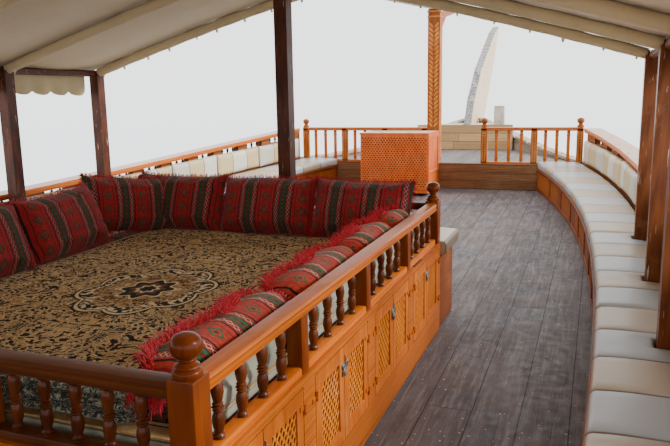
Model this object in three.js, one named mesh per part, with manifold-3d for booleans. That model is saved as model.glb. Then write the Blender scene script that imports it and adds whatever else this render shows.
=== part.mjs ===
// Wooden dhow, an open excursion boat with a canvas awning, at real size in millimetres.
// +Y runs to the bow, +X to starboard, +Z up. The origin is on the centreline, amidships, at the waterline.
import * as THREE from "three";
import { mergeVertices } from "three/addons/utils/BufferGeometryUtils.js";
import Module from "manifold-3d";

const wasm = await Module();
wasm.setup();

// Driving dimensions
const gap = 0.3; // between pieces that touch
const halfBeam = 2760; // centreline to the middle of the cap rail, where the boat is widest
const widestY = -800;
const foreRun = 8950; // widest place to the stem
const aftRun = 9700; // widest place to the transom
const transomY = -9560; // transom at the waterline
const transomRake = 0.28; // aft lean per unit of height
const deckHeight = 1150; // main deck amidships above the water
const railHeight = 800; // cap rail above the main deck
const keelBottom = -1250;
const hullBottom = -950; // where the planking meets the keel
const wall = 70; // bulwark thickness
const capWidth = 200;
const capDepth = 50;
const bowCapDepth = 40;
const deckDepth = 45;
const breakY = 4450; // step from the main deck up to the foredeck
const foredeckHeight = 1818;
const stemHalf = 65; // half the thickness of stem, keel and sternpost

const benchHeight = 310; // seat board above the deck
const benchDepth = 510; // cap rail middle to the bench front
const seatPad = 90;

const postPitch = 1150; // awning posts along the side
const foremostPostY = 500;
const postCount = 9;
const postWidth = 100;
const eaveHeight = 3085;
const ridgeRise = 675; // ridge above the eaves
const awningCurve = 1.15; // 1 gives flat slopes, 2 a full arch

const majlis = { port: -1100, starboard: 1250, aft: -3860, fore: -840 }; // raised seating platform
const bayPosts = [-3100, -2350, -1610];
const newel = 85;

const propellerRadius = 290;

// Colours and finishes
const finish = {
  teak: [0x9a5a2c, 0.6],
  darkTeak: [0x5a2616, 0.55],
  orangeWood: [0xb5571d, 0.5],
  deckWood: [0x6b5a55, 0.8],
  hullWood: [0x7a4a2a, 0.6],
  whitePaint: [0xd9d4c8, 0.8],
  canvas: [0xb8a78c, 0.95],
  vinyl: [0xded8ca, 0.5],
  carpet: [0x9a7a50, 1],
  redWeave: [0x8c2422, 1],
  bronze: [0xa8823e, 0.35, 1],
};

const dhow = new THREE.Group();
dhow.name = "dhow";

function add(name, geometry, [color, roughness, metalness = 0]) {
  const mesh = new THREE.Mesh(geometry, new THREE.MeshStandardMaterial({ color, roughness, metalness }));
  mesh.name = name;
  dhow.add(mesh);
}

// Solids are joined and cut here, and handed on as plain geometry
function welded(geometry) {
  const bare = geometry.clone();
  for (const name of Object.keys(bare.attributes)) if (name !== "position") bare.deleteAttribute(name);
  return mergeVertices(bare, 1e-3);
}

function solid(geometry) {
  const shape = welded(geometry);
  const vertProperties = new Float32Array(shape.attributes.position.array);
  const triVerts = new Uint32Array(shape.index.array);
  return new wasm.Manifold(new wasm.Mesh({ numProp: 3, vertProperties, triVerts }));
}

function geometryOf(manifold) {
  const out = manifold.getMesh();
  const geometry = new THREE.BufferGeometry();
  geometry.setAttribute("position", new THREE.BufferAttribute(new Float32Array(out.vertProperties), 3));
  geometry.setIndex(new THREE.BufferAttribute(new Uint32Array(out.triVerts), 1));
  return geometry;
}

const join = (...pieces) => geometryOf(pieces.flat().map(solid).reduce((whole, piece) => whole.add(piece)));
const cut = (body, ...tools) => geometryOf(tools.flat().map(solid).reduce((rest, tool) => rest.subtract(tool), solid(body)));

// Basic shapes
function box([x0, x1], [y0, y1], [z0, z1]) {
  const block = new THREE.BoxGeometry(x1 - x0, y1 - y0, z1 - z0);
  return block.translate((x0 + x1) / 2, (y0 + y1) / 2, (z0 + z1) / 2);
}

function upright(radius, x, y, z0, z1, sides = 8) {
  const post = new THREE.CylinderGeometry(radius, radius, z1 - z0, sides);
  return post.rotateX(Math.PI / 2).translate(x, y, (z0 + z1) / 2);
}

function turned(profile, x, y, z, sides = 8) {
  const points = profile.map(([radius, height]) => new THREE.Vector2(radius, height));
  return new THREE.LatheGeometry(points, sides).rotateX(Math.PI / 2).translate(x, y, z);
}

// A side-view outline of [y, z] points, made as thick as from x0 to x1
function plate(outline, x0, x1) {
  const shape = new THREE.Shape(outline.map(([y, z]) => new THREE.Vector2(y, z)));
  const slab = new THREE.ExtrudeGeometry(shape, { depth: x1 - x0, bevelEnabled: false });
  const turn = new THREE.Matrix4().makeBasis(new THREE.Vector3(0, 1, 0), new THREE.Vector3(0, 0, 1), new THREE.Vector3(1, 0, 0));
  return slab.applyMatrix4(turn).translate(x0, 0, 0);
}

// A pole along a smooth path
function pole(points, radius, steps, sides = 8) {
  const circle = new THREE.Shape();
  for (let i = 0; i < sides; i++) {
    const angle = (2 * Math.PI * i) / sides;
    const at = [radius * Math.cos(angle), radius * Math.sin(angle)];
    if (i === 0) circle.moveTo(...at);
    else circle.lineTo(...at);
  }
  const path = new THREE.CatmullRomCurve3(points.map((point) => new THREE.Vector3(...point)));
  return new THREE.ExtrudeGeometry(circle, { extrudePath: path, steps, bevelEnabled: false });
}

// A closed skin over rings of points, all rings with the same count, the ends filled as fans
function loft(rings) {
  const count = rings[0].length;
  const position = rings.flat(2);
  const index = [];
  for (let i = 0; i < rings.length - 1; i++) {
    for (let k = 0; k < count; k++) {
      const a = i * count + k;
      const b = i * count + ((k + 1) % count);
      index.push(a, b, b + count, a, b + count, a + count);
    }
  }
  const last = (rings.length - 1) * count;
  for (let k = 1; k < count - 1; k++) {
    index.push(0, k + 1, k);
    index.push(last, last + k, last + k + 1);
  }
  const geometry = new THREE.BufferGeometry();
  geometry.setAttribute("position", new THREE.Float32BufferAttribute(position, 3));
  geometry.setIndex(index);
  return volume(geometry) > 0 ? geometry : reversed(geometry);
}

function volume(geometry) {
  const at = geometry.attributes.position;
  const [a, b, c] = [new THREE.Vector3(), new THREE.Vector3(), new THREE.Vector3()];
  let sum = 0;
  for (let i = 0; i < geometry.index.count; i += 3) {
    [a, b, c].forEach((corner, k) => corner.fromBufferAttribute(at, geometry.index.getX(i + k)));
    sum += a.dot(b.cross(c)) / 6;
  }
  return sum;
}

function reversed(geometry) {
  const order = Array.from(geometry.index.array);
  for (let i = 0; i < order.length; i += 3) [order[i], order[i + 1]] = [order[i + 1], order[i]];
  geometry.setIndex(order);
  return geometry;
}

const mirrored = (geometry) => reversed(geometry.clone().scale(-1, 1, 1));

// Moves every corner of a shape by a rule for one corner
function moved(geometry, rule) {
  const shape = welded(geometry);
  const at = shape.attributes.position;
  for (let i = 0; i < at.count; i++) at.setXYZ(i, ...rule([at.getX(i), at.getY(i), at.getZ(i)]));
  return shape;
}

function addPair(name, geometry, look) {
  const starboard = geometry.index ? geometry : welded(geometry);
  add(`${name}_starboard`, starboard, look);
  add(`${name}_port`, mirrored(starboard), look);
}

// The hull's lines
const capEndY = breakY - 75;
const sternWallY = transomY + 60;
const stationYs = [transomY, sternWallY, -8900, -8400, -7300, -6200, -5200, -4300, -3000, -1800, -600, 600, 1800, 2800, 3700, capEndY, breakY];
const bowYs = [5100, 5700, 6200, 6700, 7150, 7500];
const foredeckEndY = 7700;

function railHalf(y) {
  const run = y - widestY;
  if (run > 0) return halfBeam * (1 - (run / foreRun) ** 2.7);
  return halfBeam * (1 - 0.375 * (-run / aftRun) ** 2.2);
}

function between(table, y) {
  let i = 1;
  while (i < table.length - 1 && y > table[i][0]) i++;
  const [[y0, v0], [y1, v1]] = [table[i - 1], table[i]];
  return v0 + ((v1 - v0) * (y - y0)) / (y1 - y0);
}

// The deck's sheer is straight between the stations, so that whatever stands on it can be set down exactly
const deckCurve = (y) => deckHeight + (y > -4300 ? 310 * ((y + 4300) / 8750) ** 2 : 170 * ((y + 4300) / 5000) ** 2);
const deckTable = [...stationYs, ...bowYs].map((y) => [y, deckCurve(y)]);
const deckZ = (y) => between(deckTable, y);
const capZ = (y) => deckHeight + railHeight + (y > -2300 ? 8.1e-6 : 5e-6) * (y + 2300) ** 2;
const bowCapZ = (y) => foredeckHeight + 44 + 60.5 * (Math.max(y - 4900, 0) / 1000) ** 1.81;

// Planking meets the keel, deadwood and stem along this line: [y, z]
const rabbet = [
  [transomY, 130], [-8900, -100], [-8400, -300], [-7300, -690], [-6200, -830], [-5200, -915], [-4300, hullBottom],
  [3700, hullBottom], [breakY, -900], [5100, -640], [5700, -130], [6200, 340], [6700, 830], [7150, 1270], [7500, 1590],
];

// Everything near the stern leans back with the transom
function lean([x, y, z]) {
  const share = THREE.MathUtils.clamp((-8400 - y) / (-8400 - transomY), 0, 1);
  return [x, y - transomRake * share * z, z];
}

function fullness(y) {
  const run = y - widestY;
  return run > 0 ? 0.34 + 0.75 * (run / 8300) ** 2 : 0.34 + 0.5 * (-run / 8760) ** 2;
}

function hullHalf(y, z) {
  const low = between(rabbet, y);
  const share = THREE.MathUtils.clamp((z - low) / (deckZ(y) - deckDepth - gap - low), 0, 1);
  const [, leaningY] = lean([0, y, z]);
  return stemHalf + (railHalf(leaningY) + wall / 2 - stemHalf) * share ** fullness(y);
}

const heightShares = [0, 0.05, 0.13, 0.25, 0.42, 0.62, 0.82, 1];

function hullRing(y) {
  const low = between(rabbet, y);
  const high = deckZ(y) - deckDepth - gap;
  const side = heightShares.map((share) => {
    const z = low + (high - low) * share;
    return [hullHalf(y, z), y, z];
  });
  return [[0, y, low], ...side, [0, y, high]].map(lean);
}

const halfHull = loft([...stationYs, ...bowYs].map(hullRing));
add("hull_planking", join(halfHull, mirrored(halfHull)), finish.hullWood);

// Strips along the side between two heights, their breadth taken where the lean has put each corner
function strip(ys, inner, outer, low, high) {
  return loft(ys.map((y) => [[inner, low], [inner, high], [outer, high], [outer, low]].map(([breadth, height]) => {
    const [, leaningY, z] = lean([0, y, height(y)]);
    return [breadth(leaningY), leaningY, z];
  })));
}

const bulwarkFootZ = (y) => deckZ(y) - deckDepth;
const innerWall = (y) => railHalf(y) - wall / 2;
const outerWall = (y) => railHalf(y) + wall / 2;

// Slots through the bulwark under the cap rail, between solid blocks
const slot = { pitch: 500, length: 330, height: 92, from: -8700, count: 26 };
const slots = Array.from({ length: slot.count }, (_, i) => {
  const y = slot.from + i * slot.pitch;
  const low = capZ(y + slot.length / 2) - capDepth - slot.height;
  return box([1000, 3000], [y, y + slot.length], [low, low + 400]);
});
const bulwark = strip(stationYs, innerWall, outerWall, bulwarkFootZ, (y) => capZ(y) - capDepth - gap);
addPair("bulwark_main", cut(bulwark, slots), finish.teak);
addPair("cap_rail", strip(stationYs.slice(0, -1), (y) => railHalf(y) - capWidth / 2, (y) => railHalf(y) + capWidth / 2,
  (y) => capZ(y) - capDepth, capZ), finish.teak);

const bowWallYs = [breakY + gap, breakY + 110, ...bowYs, foredeckEndY, 8020];
const bowFoot = (y) => Math.max(deckZ(y) - deckDepth, between([...rabbet, [8100, 2160]], y));
addPair("bulwark_bow", strip(bowWallYs, innerWall, outerWall, bowFoot, (y) => bowCapZ(y) - bowCapDepth - gap), finish.teak);
addPair("bow_cap", strip(bowWallYs.slice(1), (y) => Math.max(railHalf(y) - 75, stemHalf + 1), (y) => railHalf(y) + 75,
  (y) => bowCapZ(y) - bowCapDepth, bowCapZ), finish.whitePaint);

// Rubbing strakes outside, below the deck edge, cut to the planking
function wale(low, high) {
  const ys = [transomY + 10, ...stationYs.slice(2), ...bowYs.slice(0, -2)];
  const proud = (y) => hullHalf(y, deckZ(y) + low) + 56;
  const raw = strip(ys, (y) => proud(y) - 120, proud, (y) => deckZ(y) + low, (y) => deckZ(y) + high);
  return cut(raw, halfHull.clone().translate(2 * gap, 0, 0));
}
addPair("wale", wale(-230, -90), finish.darkTeak);

// Decks
function deckRing(y, low, high) {
  return [[1, low], [-1, low], [-1, high], [1, high]].map(([side, height]) => {
    const [, leaningY, z] = lean([0, y, height]);
    return [side * (innerWall(leaningY) - 2), leaningY, z];
  });
}
const deckYs = [...stationYs.slice(1, -1), breakY - gap];
add("main_deck", loft(deckYs.map((y) => deckRing(y, deckZ(y) - deckDepth, deckZ(y)))), finish.deckWood);

const foredeck = loft([breakY, ...bowYs, foredeckEndY].map((y) => deckRing(y, bowFoot(y), foredeckHeight)));
const timberhead = { y: 7050, width: 170, top: deckHeight + 1420 };
const timberheadX = innerWall(timberhead.y + timberhead.width / 2) - timberhead.width / 2 - 60;
const timberheads = [-1, 1].map((side) => {
  const x = side * timberheadX;
  const half = timberhead.width / 2;
  return box([x - half, x + half], [timberhead.y - half, timberhead.y + half], [foredeckHeight - 10, timberhead.top]);
});

// Raised deck in the bow, between the caps; the stem stands in a slot through it, the timberheads grow out of it
const bowDeck = { aft: 6900, fore: 7690, top: 2250, capClearance: 88, front: 45 };
const bowDeckBody = loft([bowDeck.aft, 7100, 7300, 7500, bowDeck.fore].map((y) => {
  const [breadth, low] = [railHalf(y) - bowDeck.capClearance, foredeckHeight - 10];
  return [[breadth, y, low], [-breadth, y, low], [-breadth, y, bowDeck.top], [breadth, y, bowDeck.top]];
}));
const stemSlot = box([-stemHalf - gap, stemHalf + gap], [bowDeck.aft + bowDeck.front, 8000], [foredeckHeight, 2400]);
add("foredeck", join(foredeck, ...timberheads, cut(bowDeckBody, stemSlot)), finish.teak);

// Keel, deadwood, stem and sternpost in one plate, with the propeller's opening
const postFace = (z) => transomY - transomRake * z - 130;
const sternpostTop = 1900;
const seam = rabbet.map(([y, z]) => lean([0, y, z - gap]).slice(1));
const backboneOutline = [
  [transomY - transomRake * sternpostTop - gap, sternpostTop], ...seam,
  [foredeckEndY + gap, 1780 - gap], [foredeckEndY + gap, foredeckHeight + gap], [6950, foredeckHeight + gap],
  [7530, 2670], [8300, 3250], [9990, 4050], [10570, 4220], [9930, 3480], [9090, 2660], [8640, 2230],
  [7600, 1210], [6950, 560], [6400, 0], [5950, -470], [5450, -860], [4850, -1130], [4200, keelBottom],
  [postFace(keelBottom), keelBottom], [postFace(sternpostTop), sternpostTop],
];
const aperture = [[-8750, -900], [-9290, -900], [-9440, -290], [-9050, -215], [-8750, -280]];
const shaftZ = -570;
const shaftEndY = -8790;
const sternTube = new THREE.CylinderGeometry(78, 70, 80, 12).translate(0, shaftEndY + 40, shaftZ);

// The rudder hangs on the leaning sternpost; its own frame has +Z up the stock
const stockY = -9750;
const leanAngle = Math.atan(transomRake);
const onStock = (geometry) => geometry.rotateX(leanAngle).translate(0, stockY, 0);
const gudgeonHeights = [-1120, -330, 470, 1270];
const stockRadius = 40;
const gudgeons = gudgeonHeights.map((z) => onStock(cut(
  join(upright(72, 0, 0, z - 35, z + 35, 16), box([-45, 45], [30, 78], [z - 35, z + 35])),
  upright(stockRadius + 1, 0, 0, z - 50, z + 50, 24),
)));
const backbone = join(cut(plate(backboneOutline, -stemHalf, stemHalf), plate(aperture, -200, 200)), sternTube, gudgeons);
add("keel_stem_and_sternpost", backbone, finish.hullWood);

const rudderOutline = [
  [0, -1288], [-820, -1058], [-905, -800], [-830, -250], [-480, 250], [-270, 620], [-230, 1480], [0, 1480],
];
const notches = gudgeonHeights.map((z) => upright(86, 0, 0, z - 44, z + 44, 16));
const blade = cut(plate(rudderOutline, -35, 35), notches);
const stock = upright(stockRadius, 0, 0, -1240, 1500, 16);
const yoke = box([-320, 320], [-120, -50], [1375, 1450]);
add("rudder", onStock(join(blade, stock, yoke)), finish.hullWood);

// Three-bladed propeller on a stub of shaft
function propeller() {
  const hub = new THREE.CylinderGeometry(62, 40, 230, 12).translate(0, shaftEndY - 0.6 - 115, 0);
  const outline = [[-25, 40], [-75, 140], [-90, 210], [-55, propellerRadius - 10], [0, propellerRadius],
    [65, propellerRadius - 30], [90, 200], [70, 120], [25, 40]];
  const blades = [0, 1, 2].map((i) => {
    const leaf = plate(outline, -9, 9).rotateZ(Math.PI / 2 - 0.6).translate(0, shaftEndY - 105, 0);
    return leaf.rotateY((i * 2 * Math.PI) / 3);
  });
  return join(hub, blades).translate(0, 0, shaftZ);
}
add("propeller", propeller(), finish.bronze);

// Transom wall with its cap, closing the deck aft
const transomBoard = loft([transomY + 1, sternWallY - gap].map((y) => {
  return [[-1, bulwarkFootZ(y)], [-1, capZ(y) - capDepth - 1], [1, capZ(y) - capDepth - 1], [1, bulwarkFootZ(y)]].map(([side, height]) => {
    const [, leaningY, z] = lean([0, y, height]);
    return [side * (innerWall(leaningY) - 2), leaningY, z];
  });
}));
const transomCap = loft([transomY - 40, transomY + 110].map((y) => {
  return [[-1, capZ(y) - capDepth - 12], [-1, capZ(y)], [1, capZ(y)], [1, capZ(y) - capDepth - 12]].map(([side, height]) => {
    const [, leaningY, z] = lean([0, y, height]);
    return [side * (railHalf(leaningY) - capWidth / 2 - 3), leaningY, z];
  });
}));
add("transom_bulwark", join(transomBoard, transomCap), finish.teak);

// Benches along both sides, their pads and backs
const benchFront = (y) => railHalf(y) - benchDepth - (27 * Math.max(y - widestY, 0)) / 1000;
const benchYs = [-8900, ...stationYs.slice(3, -1), breakY - 2 * gap];
const benchTop = (y) => deckZ(y) + benchHeight;
addPair("bench", strip(benchYs, benchFront, (y) => innerWall(y) - 2, (y) => deckZ(y) + gap, benchTop), finish.orangeWood);

const postYs = Array.from({ length: postCount }, (_, i) => foremostPostY - i * postPitch);
const postX = (y) => railHalf(y + (Math.sign(y - widestY) * postWidth) / 2) - 190;
const padOuter = (y) => innerWall(y) - 90;
const postHoles = postYs.map((y) => {
  const half = postWidth / 2 + 4;
  return box([postX(y) - half, postX(y) + 300], [y - half, y + half], [benchTop(y) - 90, benchTop(y) + 200]);
});
const seatStrip = strip(benchYs, (y) => benchFront(y) - 15, padOuter, (y) => benchTop(y) + gap, (y) => benchTop(y) + seatPad);
addPair("seat_cushions", cut(seatStrip, postHoles), finish.vinyl);
addPair("back_cushions", strip(benchYs, (y) => padOuter(y) + 2, (y) => innerWall(y) - 3,
  (y) => benchTop(y) + gap, (y) => benchTop(y) + seatPad + 295), finish.vinyl);

// Awning: posts, eaves and rafters a side, on the benches, meeting at the ridge
const awningZ = (x, y) => eaveHeight + ridgeRise * (1 - Math.abs(x / postX(y)) ** awningCurve);
const rafterDrop = 46;
const rafterRadius = 32;
const ridgeHalf = 60;

function awningFrame() {
  const side = postWidth / 2;
  const foot = (y) => Math.max(benchTop(y - side), benchTop(y + side)) + gap;
  const posts = postYs.map((y) => box([postX(y) - side, postX(y) + side], [y - side, y + side], [foot(y), eaveHeight - rafterDrop]));
  const eave = pole([...postYs, postYs.at(-1) - 20].map((y) => [postX(y), y, eaveHeight - rafterDrop]), rafterRadius, postCount - 1, 6);
  const rafters = postYs.map((y) => {
    const xs = [0.99, 0.66, 0.33].map((share) => share * postX(y));
    return pole([...xs, ridgeHalf + 14].map((x) => [x, y, awningZ(x, y) - rafterDrop]), rafterRadius, 3, 6);
  });
  return join(posts, eave, rafters);
}
addPair("awning_frame", awningFrame(), finish.darkTeak);

// Ridge beam of [y, lower edge, upper edge], level under the canvas and climbing to the carved post forward
const canvasFlat = 0.036; // share of the half width that lies on the ridge
const ridgeTop = eaveHeight + ridgeRise * (1 - canvasFlat ** awningCurve) - gap;
const ridge = [
  [-8750, 3630, ridgeTop], [-600, 3630, ridgeTop], [540, 3655, ridgeTop], [2360, 3810, 3930], [5300, 4000, 4120], [5700, 4026, 4146],
];
const ridgeOutline = [...ridge.map(([y, low]) => [y, low]), ...ridge.map(([y, , high]) => [y, high]).reverse()];
add("ridge_beam", plate(ridgeOutline, -ridgeHalf, ridgeHalf), finish.whitePaint);

const hem = (y) => postX(y) + 80;
const canvasDepth = 10;
const canvasYs = [foremostPostY + 30, ...postYs.slice(1, -1), postYs.at(-1) - 50];
addPair("awning_canvas", loft(canvasYs.map((y) => {
  const xs = [canvasFlat, 0.26, 0.52, 0.78].map((share) => share * postX(y)).concat(hem(y));
  const low = [[gap / 2, y, awningZ(xs[0], y)], ...xs.map((x) => [x, y, awningZ(x, y)])];
  return [...low, ...low.map(([x, , z]) => [x, y, z + canvasDepth]).reverse()];
})), finish.canvas);

const valanceYs = [foremostPostY - 90, ...postYs.slice(1)];
addPair("awning_valance", loft(valanceYs.map((y) => {
  const [low, high] = [eaveHeight - 190, awningZ(hem(y), y) - gap];
  return [[hem(y) - 10, y, low], [hem(y) - 10, y, high], [hem(y), y, high], [hem(y), y, low]];
})), finish.canvas);

// Centre post, standing in the seat forward of the raised platform
const centrePost = { y: -530, width: 100 };
const seatRise = (y) => between([[majlis.aft, deckZ(majlis.aft)], [majlis.fore, deckZ(majlis.fore)]], y);
const onSeat = (geometry) => moved(geometry, ([x, y, z]) => [x, y, z + seatRise(y)]);
const half = centrePost.width / 2;
add("centre_post", box([-half, half], [centrePost.y - half, centrePost.y + half], [deckZ(centrePost.y + half) + gap, 3630 - gap]),
  finish.darkTeak);

// Raised platform, hollow, with four bays of double doors to starboard
const platformTop = 610;
const panel = 30;
const doors = { low: 160, high: 575, thick: 22, clearance: 5, stile: 55, frame: 52 };
const bayEdges = [majlis.aft, ...bayPosts, majlis.fore];
const hingeRadius = 6.5;
const hingeOut = 6;

const bays = bayPosts.concat(majlis.fore).map((fore, i) => {
  const aft = bayEdges[i];
  return { aft: aft + doors.stile, fore: fore - doors.stile, middle: (aft + fore) / 2 };
});

// Knuckles at one height: the frame's pair stands above and below the leaf's
function knuckle(y, outwards, z0, z1) {
  const face = majlis.starboard;
  const barrel = upright(hingeRadius, face + hingeOut, y, z0, z1, 6);
  const ys = outwards > 0 ? [y + 2.6, y + 34] : [y - 34, y - 2.6];
  return join(barrel, box([face - 2, face + 4], ys, [z0, z1]));
}
const hingeZs = [doors.low + 60, doors.high - 100];

function platform() {
  const { port, starboard, aft, fore } = majlis;
  const shell = box([port, starboard], [aft, fore], [gap, platformTop]);
  const inside = box([port + panel, starboard - panel], [aft + panel, fore - panel], [-50, platformTop - 40]);
  const holes = bays.map((bay) => box([starboard - 60, starboard + 60], [bay.aft, bay.fore],
    [doors.low - doors.clearance, doors.high + doors.clearance]));
  const knuckles = bays.flatMap((bay) => hingeZs.map((z) => [
    knuckle(bay.aft + doors.clearance / 2, -1, z, z + 20), knuckle(bay.fore - doors.clearance / 2, 1, z, z + 20),
  ])).flat();
  return onSeat(join(cut(shell, inside, holes), knuckles));
}
add("majlis_platform", platform(), finish.orangeWood);

function doorLeaf(hingeY, meetingY) {
  const way = Math.sign(meetingY - hingeY);
  const ys = [hingeY + way * (doors.clearance / 2), meetingY - way * (doors.clearance / 2)].sort((a, b) => a - b);
  const leaf = box([majlis.starboard - doors.thick, majlis.starboard], ys, [doors.low, doors.high]);
  const window = box([majlis.starboard - 100, majlis.starboard + 100], [ys[0] + doors.frame, ys[1] - doors.frame],
    [doors.low + doors.frame, doors.high - doors.frame]);
  const knuckles = hingeZs.map((z) => knuckle(hingeY, way, z + 20 + gap, z + 40));
  return onSeat(join(cut(leaf, window), knuckles));
}
bays.forEach((bay, i) => {
  add(`door_${i + 1}_aft`, doorLeaf(bay.aft + doors.clearance / 2, bay.middle), finish.orangeWood);
  add(`door_${i + 1}_fore`, doorLeaf(bay.fore - doors.clearance / 2, bay.middle), finish.orangeWood);
});

// Rails round the platform: turned balusters between square newels with ball tops
const balusterProfile = [[0, 0], [15, 0], [9, 48], [17, 108], [9, 168], [15, 215], [0, 215]];
const ballProfile = [[0, 0], [30, 0], [24, 60], [40, 88], [46, 118], [36, 150], [0, 164]];
const sill = { low: platformTop + gap, high: 640 };
const topRail = { low: 830, high: 878 };
const newelTop = 915;

// A rail from one place to another along X or Y, with posts at given places
function balustrade(along, cross, from, to, posts, newels, bayCount) {
  const spot = (a, w0, w1) => (along === "x" ? [[a - w0, a + w0], [cross - w1, cross + w1]] : [[cross - w1, cross + w1], [a - w0, a + w0]]);
  const bar = (z0, z1, width) => {
    const run = [(from + to) / 2, (to - from) / 2];
    return box(...spot(run[0], run[1], width / 2), [z0, z1]);
  };
  const pieces = [bar(sill.low, sill.high, 50), bar(topRail.low, topRail.high, 70)];
  for (const at of posts) pieces.push(box(...spot(at, 32, 32), [sill.low, topRail.high - 5]));
  for (const at of newels) {
    pieces.push(box(...spot(at, newel / 2, newel / 2), [sill.low, newelTop]));
    const [x, y] = along === "x" ? [at, cross] : [cross, at];
    pieces.push(turned(ballProfile, x, y, newelTop - 20, 10));
  }
  const ends = [from, ...posts, to];
  for (let i = 0; i < ends.length - 1; i++) {
    for (let k = 1; k <= bayCount; k++) {
      const at = ends[i] + ((ends[i + 1] - ends[i]) * k) / (bayCount + 1);
      const [x, y] = along === "x" ? [at, cross] : [cross, at];
      pieces.push(turned(balusterProfile, x, y, sill.high - 10, 6));
    }
  }
  return onSeat(join(pieces));
}
const edge = newel / 2;
const sideX = { starboard: majlis.starboard - edge, port: majlis.port + edge };
const endY = { aft: majlis.aft + edge, fore: majlis.fore - edge };
for (const side of ["starboard", "port"]) {
  add(`majlis_rail_${side}`, balustrade("y", sideX[side], endY.aft, endY.fore, bayPosts, [endY.aft, endY.fore], 4), finish.teak);
}
const crossFrom = sideX.port + edge + gap;
const crossTo = sideX.starboard - edge - gap;
add("majlis_rail_aft", balustrade("x", endY.aft, crossFrom, crossTo, [-370, 480], [], 5), finish.teak);
add("majlis_rail_fore", balustrade("x", endY.fore, crossFrom, crossTo, [-370, 480], [], 2), finish.teak);

// Soft goods on the platform, as plain solids
const well = { x: [majlis.port + newel + 8, majlis.starboard - newel - 8], y: [majlis.aft + newel + 8, majlis.fore - newel - 8] };
const matTop = platformTop + 50;
add("majlis_mattress", onSeat(box(well.x, well.y, [platformTop + gap, matTop])), finish.carpet);
const cushionTop = matTop + 330;
const leaning = (outline, x0, x1) => onSeat(plate(outline, x0, x1));
const foreY = well.y[1];
add("cushions_fore", leaning([[foreY - 300, matTop + gap], [foreY - 40, matTop + gap], [foreY + 20, cushionTop],
  [foreY - 110, cushionTop]], well.x[0] + 330, well.x[1] - 60), finish.redWeave);

function portCushions() {
  const [x] = well.x;
  const outline = [[x + 5, matTop + gap], [x + 290, matTop + gap], [x + 140, cushionTop], [x - 10, cushionTop]];
  const shape = new THREE.Shape(outline.map(([a, z]) => new THREE.Vector2(a, z)));
  const run = foreY - 20 - (well.y[0] + 120);
  const slab = new THREE.ExtrudeGeometry(shape, { depth: run, bevelEnabled: false });
  return onSeat(slab.rotateX(Math.PI / 2).translate(0, foreY - 20, 0));
}
add("cushions_port", portCushions(), finish.redWeave);
add("bolsters_starboard", onSeat(box([well.x[1] - 215, well.x[1] - 4], [well.y[0] + 60, foreY - 330], [matTop + gap, matTop + 190])),
  finish.redWeave);

// Seat forward of the platform, notched for the centre post
const foreSeat = { aft: majlis.fore + gap, fore: -420, top: 500, pad: 130 };
const postNotch = box([-half - 3, half + 3], [centrePost.y - half - 3, centrePost.y + half + 3], [-100, 900]);
const seatBlock = box([majlis.port, majlis.starboard], [foreSeat.aft, foreSeat.fore], [12, foreSeat.top]);
add("fore_seat", onSeat(cut(seatBlock, postNotch)), finish.orangeWood);
const seatCushion = box([majlis.port + 5, majlis.starboard + 40], [foreSeat.aft + 3, foreSeat.fore + 30],
  [foreSeat.top + gap, foreSeat.top + foreSeat.pad]);
add("fore_seat_cushion", onSeat(cut(seatCushion, postNotch)), finish.vinyl);

// Rails on the foredeck's edge, either side of the way through
const breakRail = { y: breakY + 55, low: foredeckHeight + gap, sill: foredeckHeight + 27, top: deckHeight + 1170, ball: 118 };
function edgeRail(from, to, posts, newels) {
  const { y, low, top } = breakRail;
  const pieces = [box([from, to], [y - 30, y + 30], [low, breakRail.sill]), box([from, to], [y - 42, y + 42], [top - 48, top])];
  for (const x of posts) pieces.push(box([x - 40, x + 40], [y - 40, y + 40], [low, top - 10]));
  for (const x of newels) pieces.push(turned(ballProfile.map(([r, z]) => [r * 0.9, z]), x, y, top - 20, 10));
  const ends = posts;
  for (let i = 0; i < ends.length - 1; i++) {
    for (let k = 1; k <= 3; k++) {
      const x = ends[i] + ((ends[i + 1] - ends[i]) * k) / 4;
      pieces.push(box([x - 17, x + 17], [y - 11, y + 11], [breakRail.sill - 5, top - 40]));
    }
  }
  return join(pieces);
}
add("break_rail_starboard", edgeRail(676, 2020, [716, 1390, 1980], [716, 1980]), finish.orangeWood);
add("break_rail_port", edgeRail(-2020, -88, [-1980, -1350, -720, -128], [-1980]), finish.orangeWood);

// Perforated cabinet at the step, its top overhanging a little
const cabinetBody = box([-870, 80], [3800, breakY - gap - 1], [deckZ(breakY) + gap, 2255]);
add("perforated_cabinet", join(cabinetBody, box([-880, 90], [3790, breakY - gap - 1], [2250, 2275])), finish.orangeWood);

// Carved post with its knee under the ridge beam
const carvedPost = box([-85, 85], [breakY + 5, breakY + 175], [foredeckHeight + gap, 3945]);
const knee = [[4600, 3480], [4760, 3700], [5050, 3890], [5700, 4005], [5700, 4025], [5300, 3999.4], [4600, 3954]];
add("carved_post", join(carvedPost, plate(knee, -45, 45)), finish.orangeWood);

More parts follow.
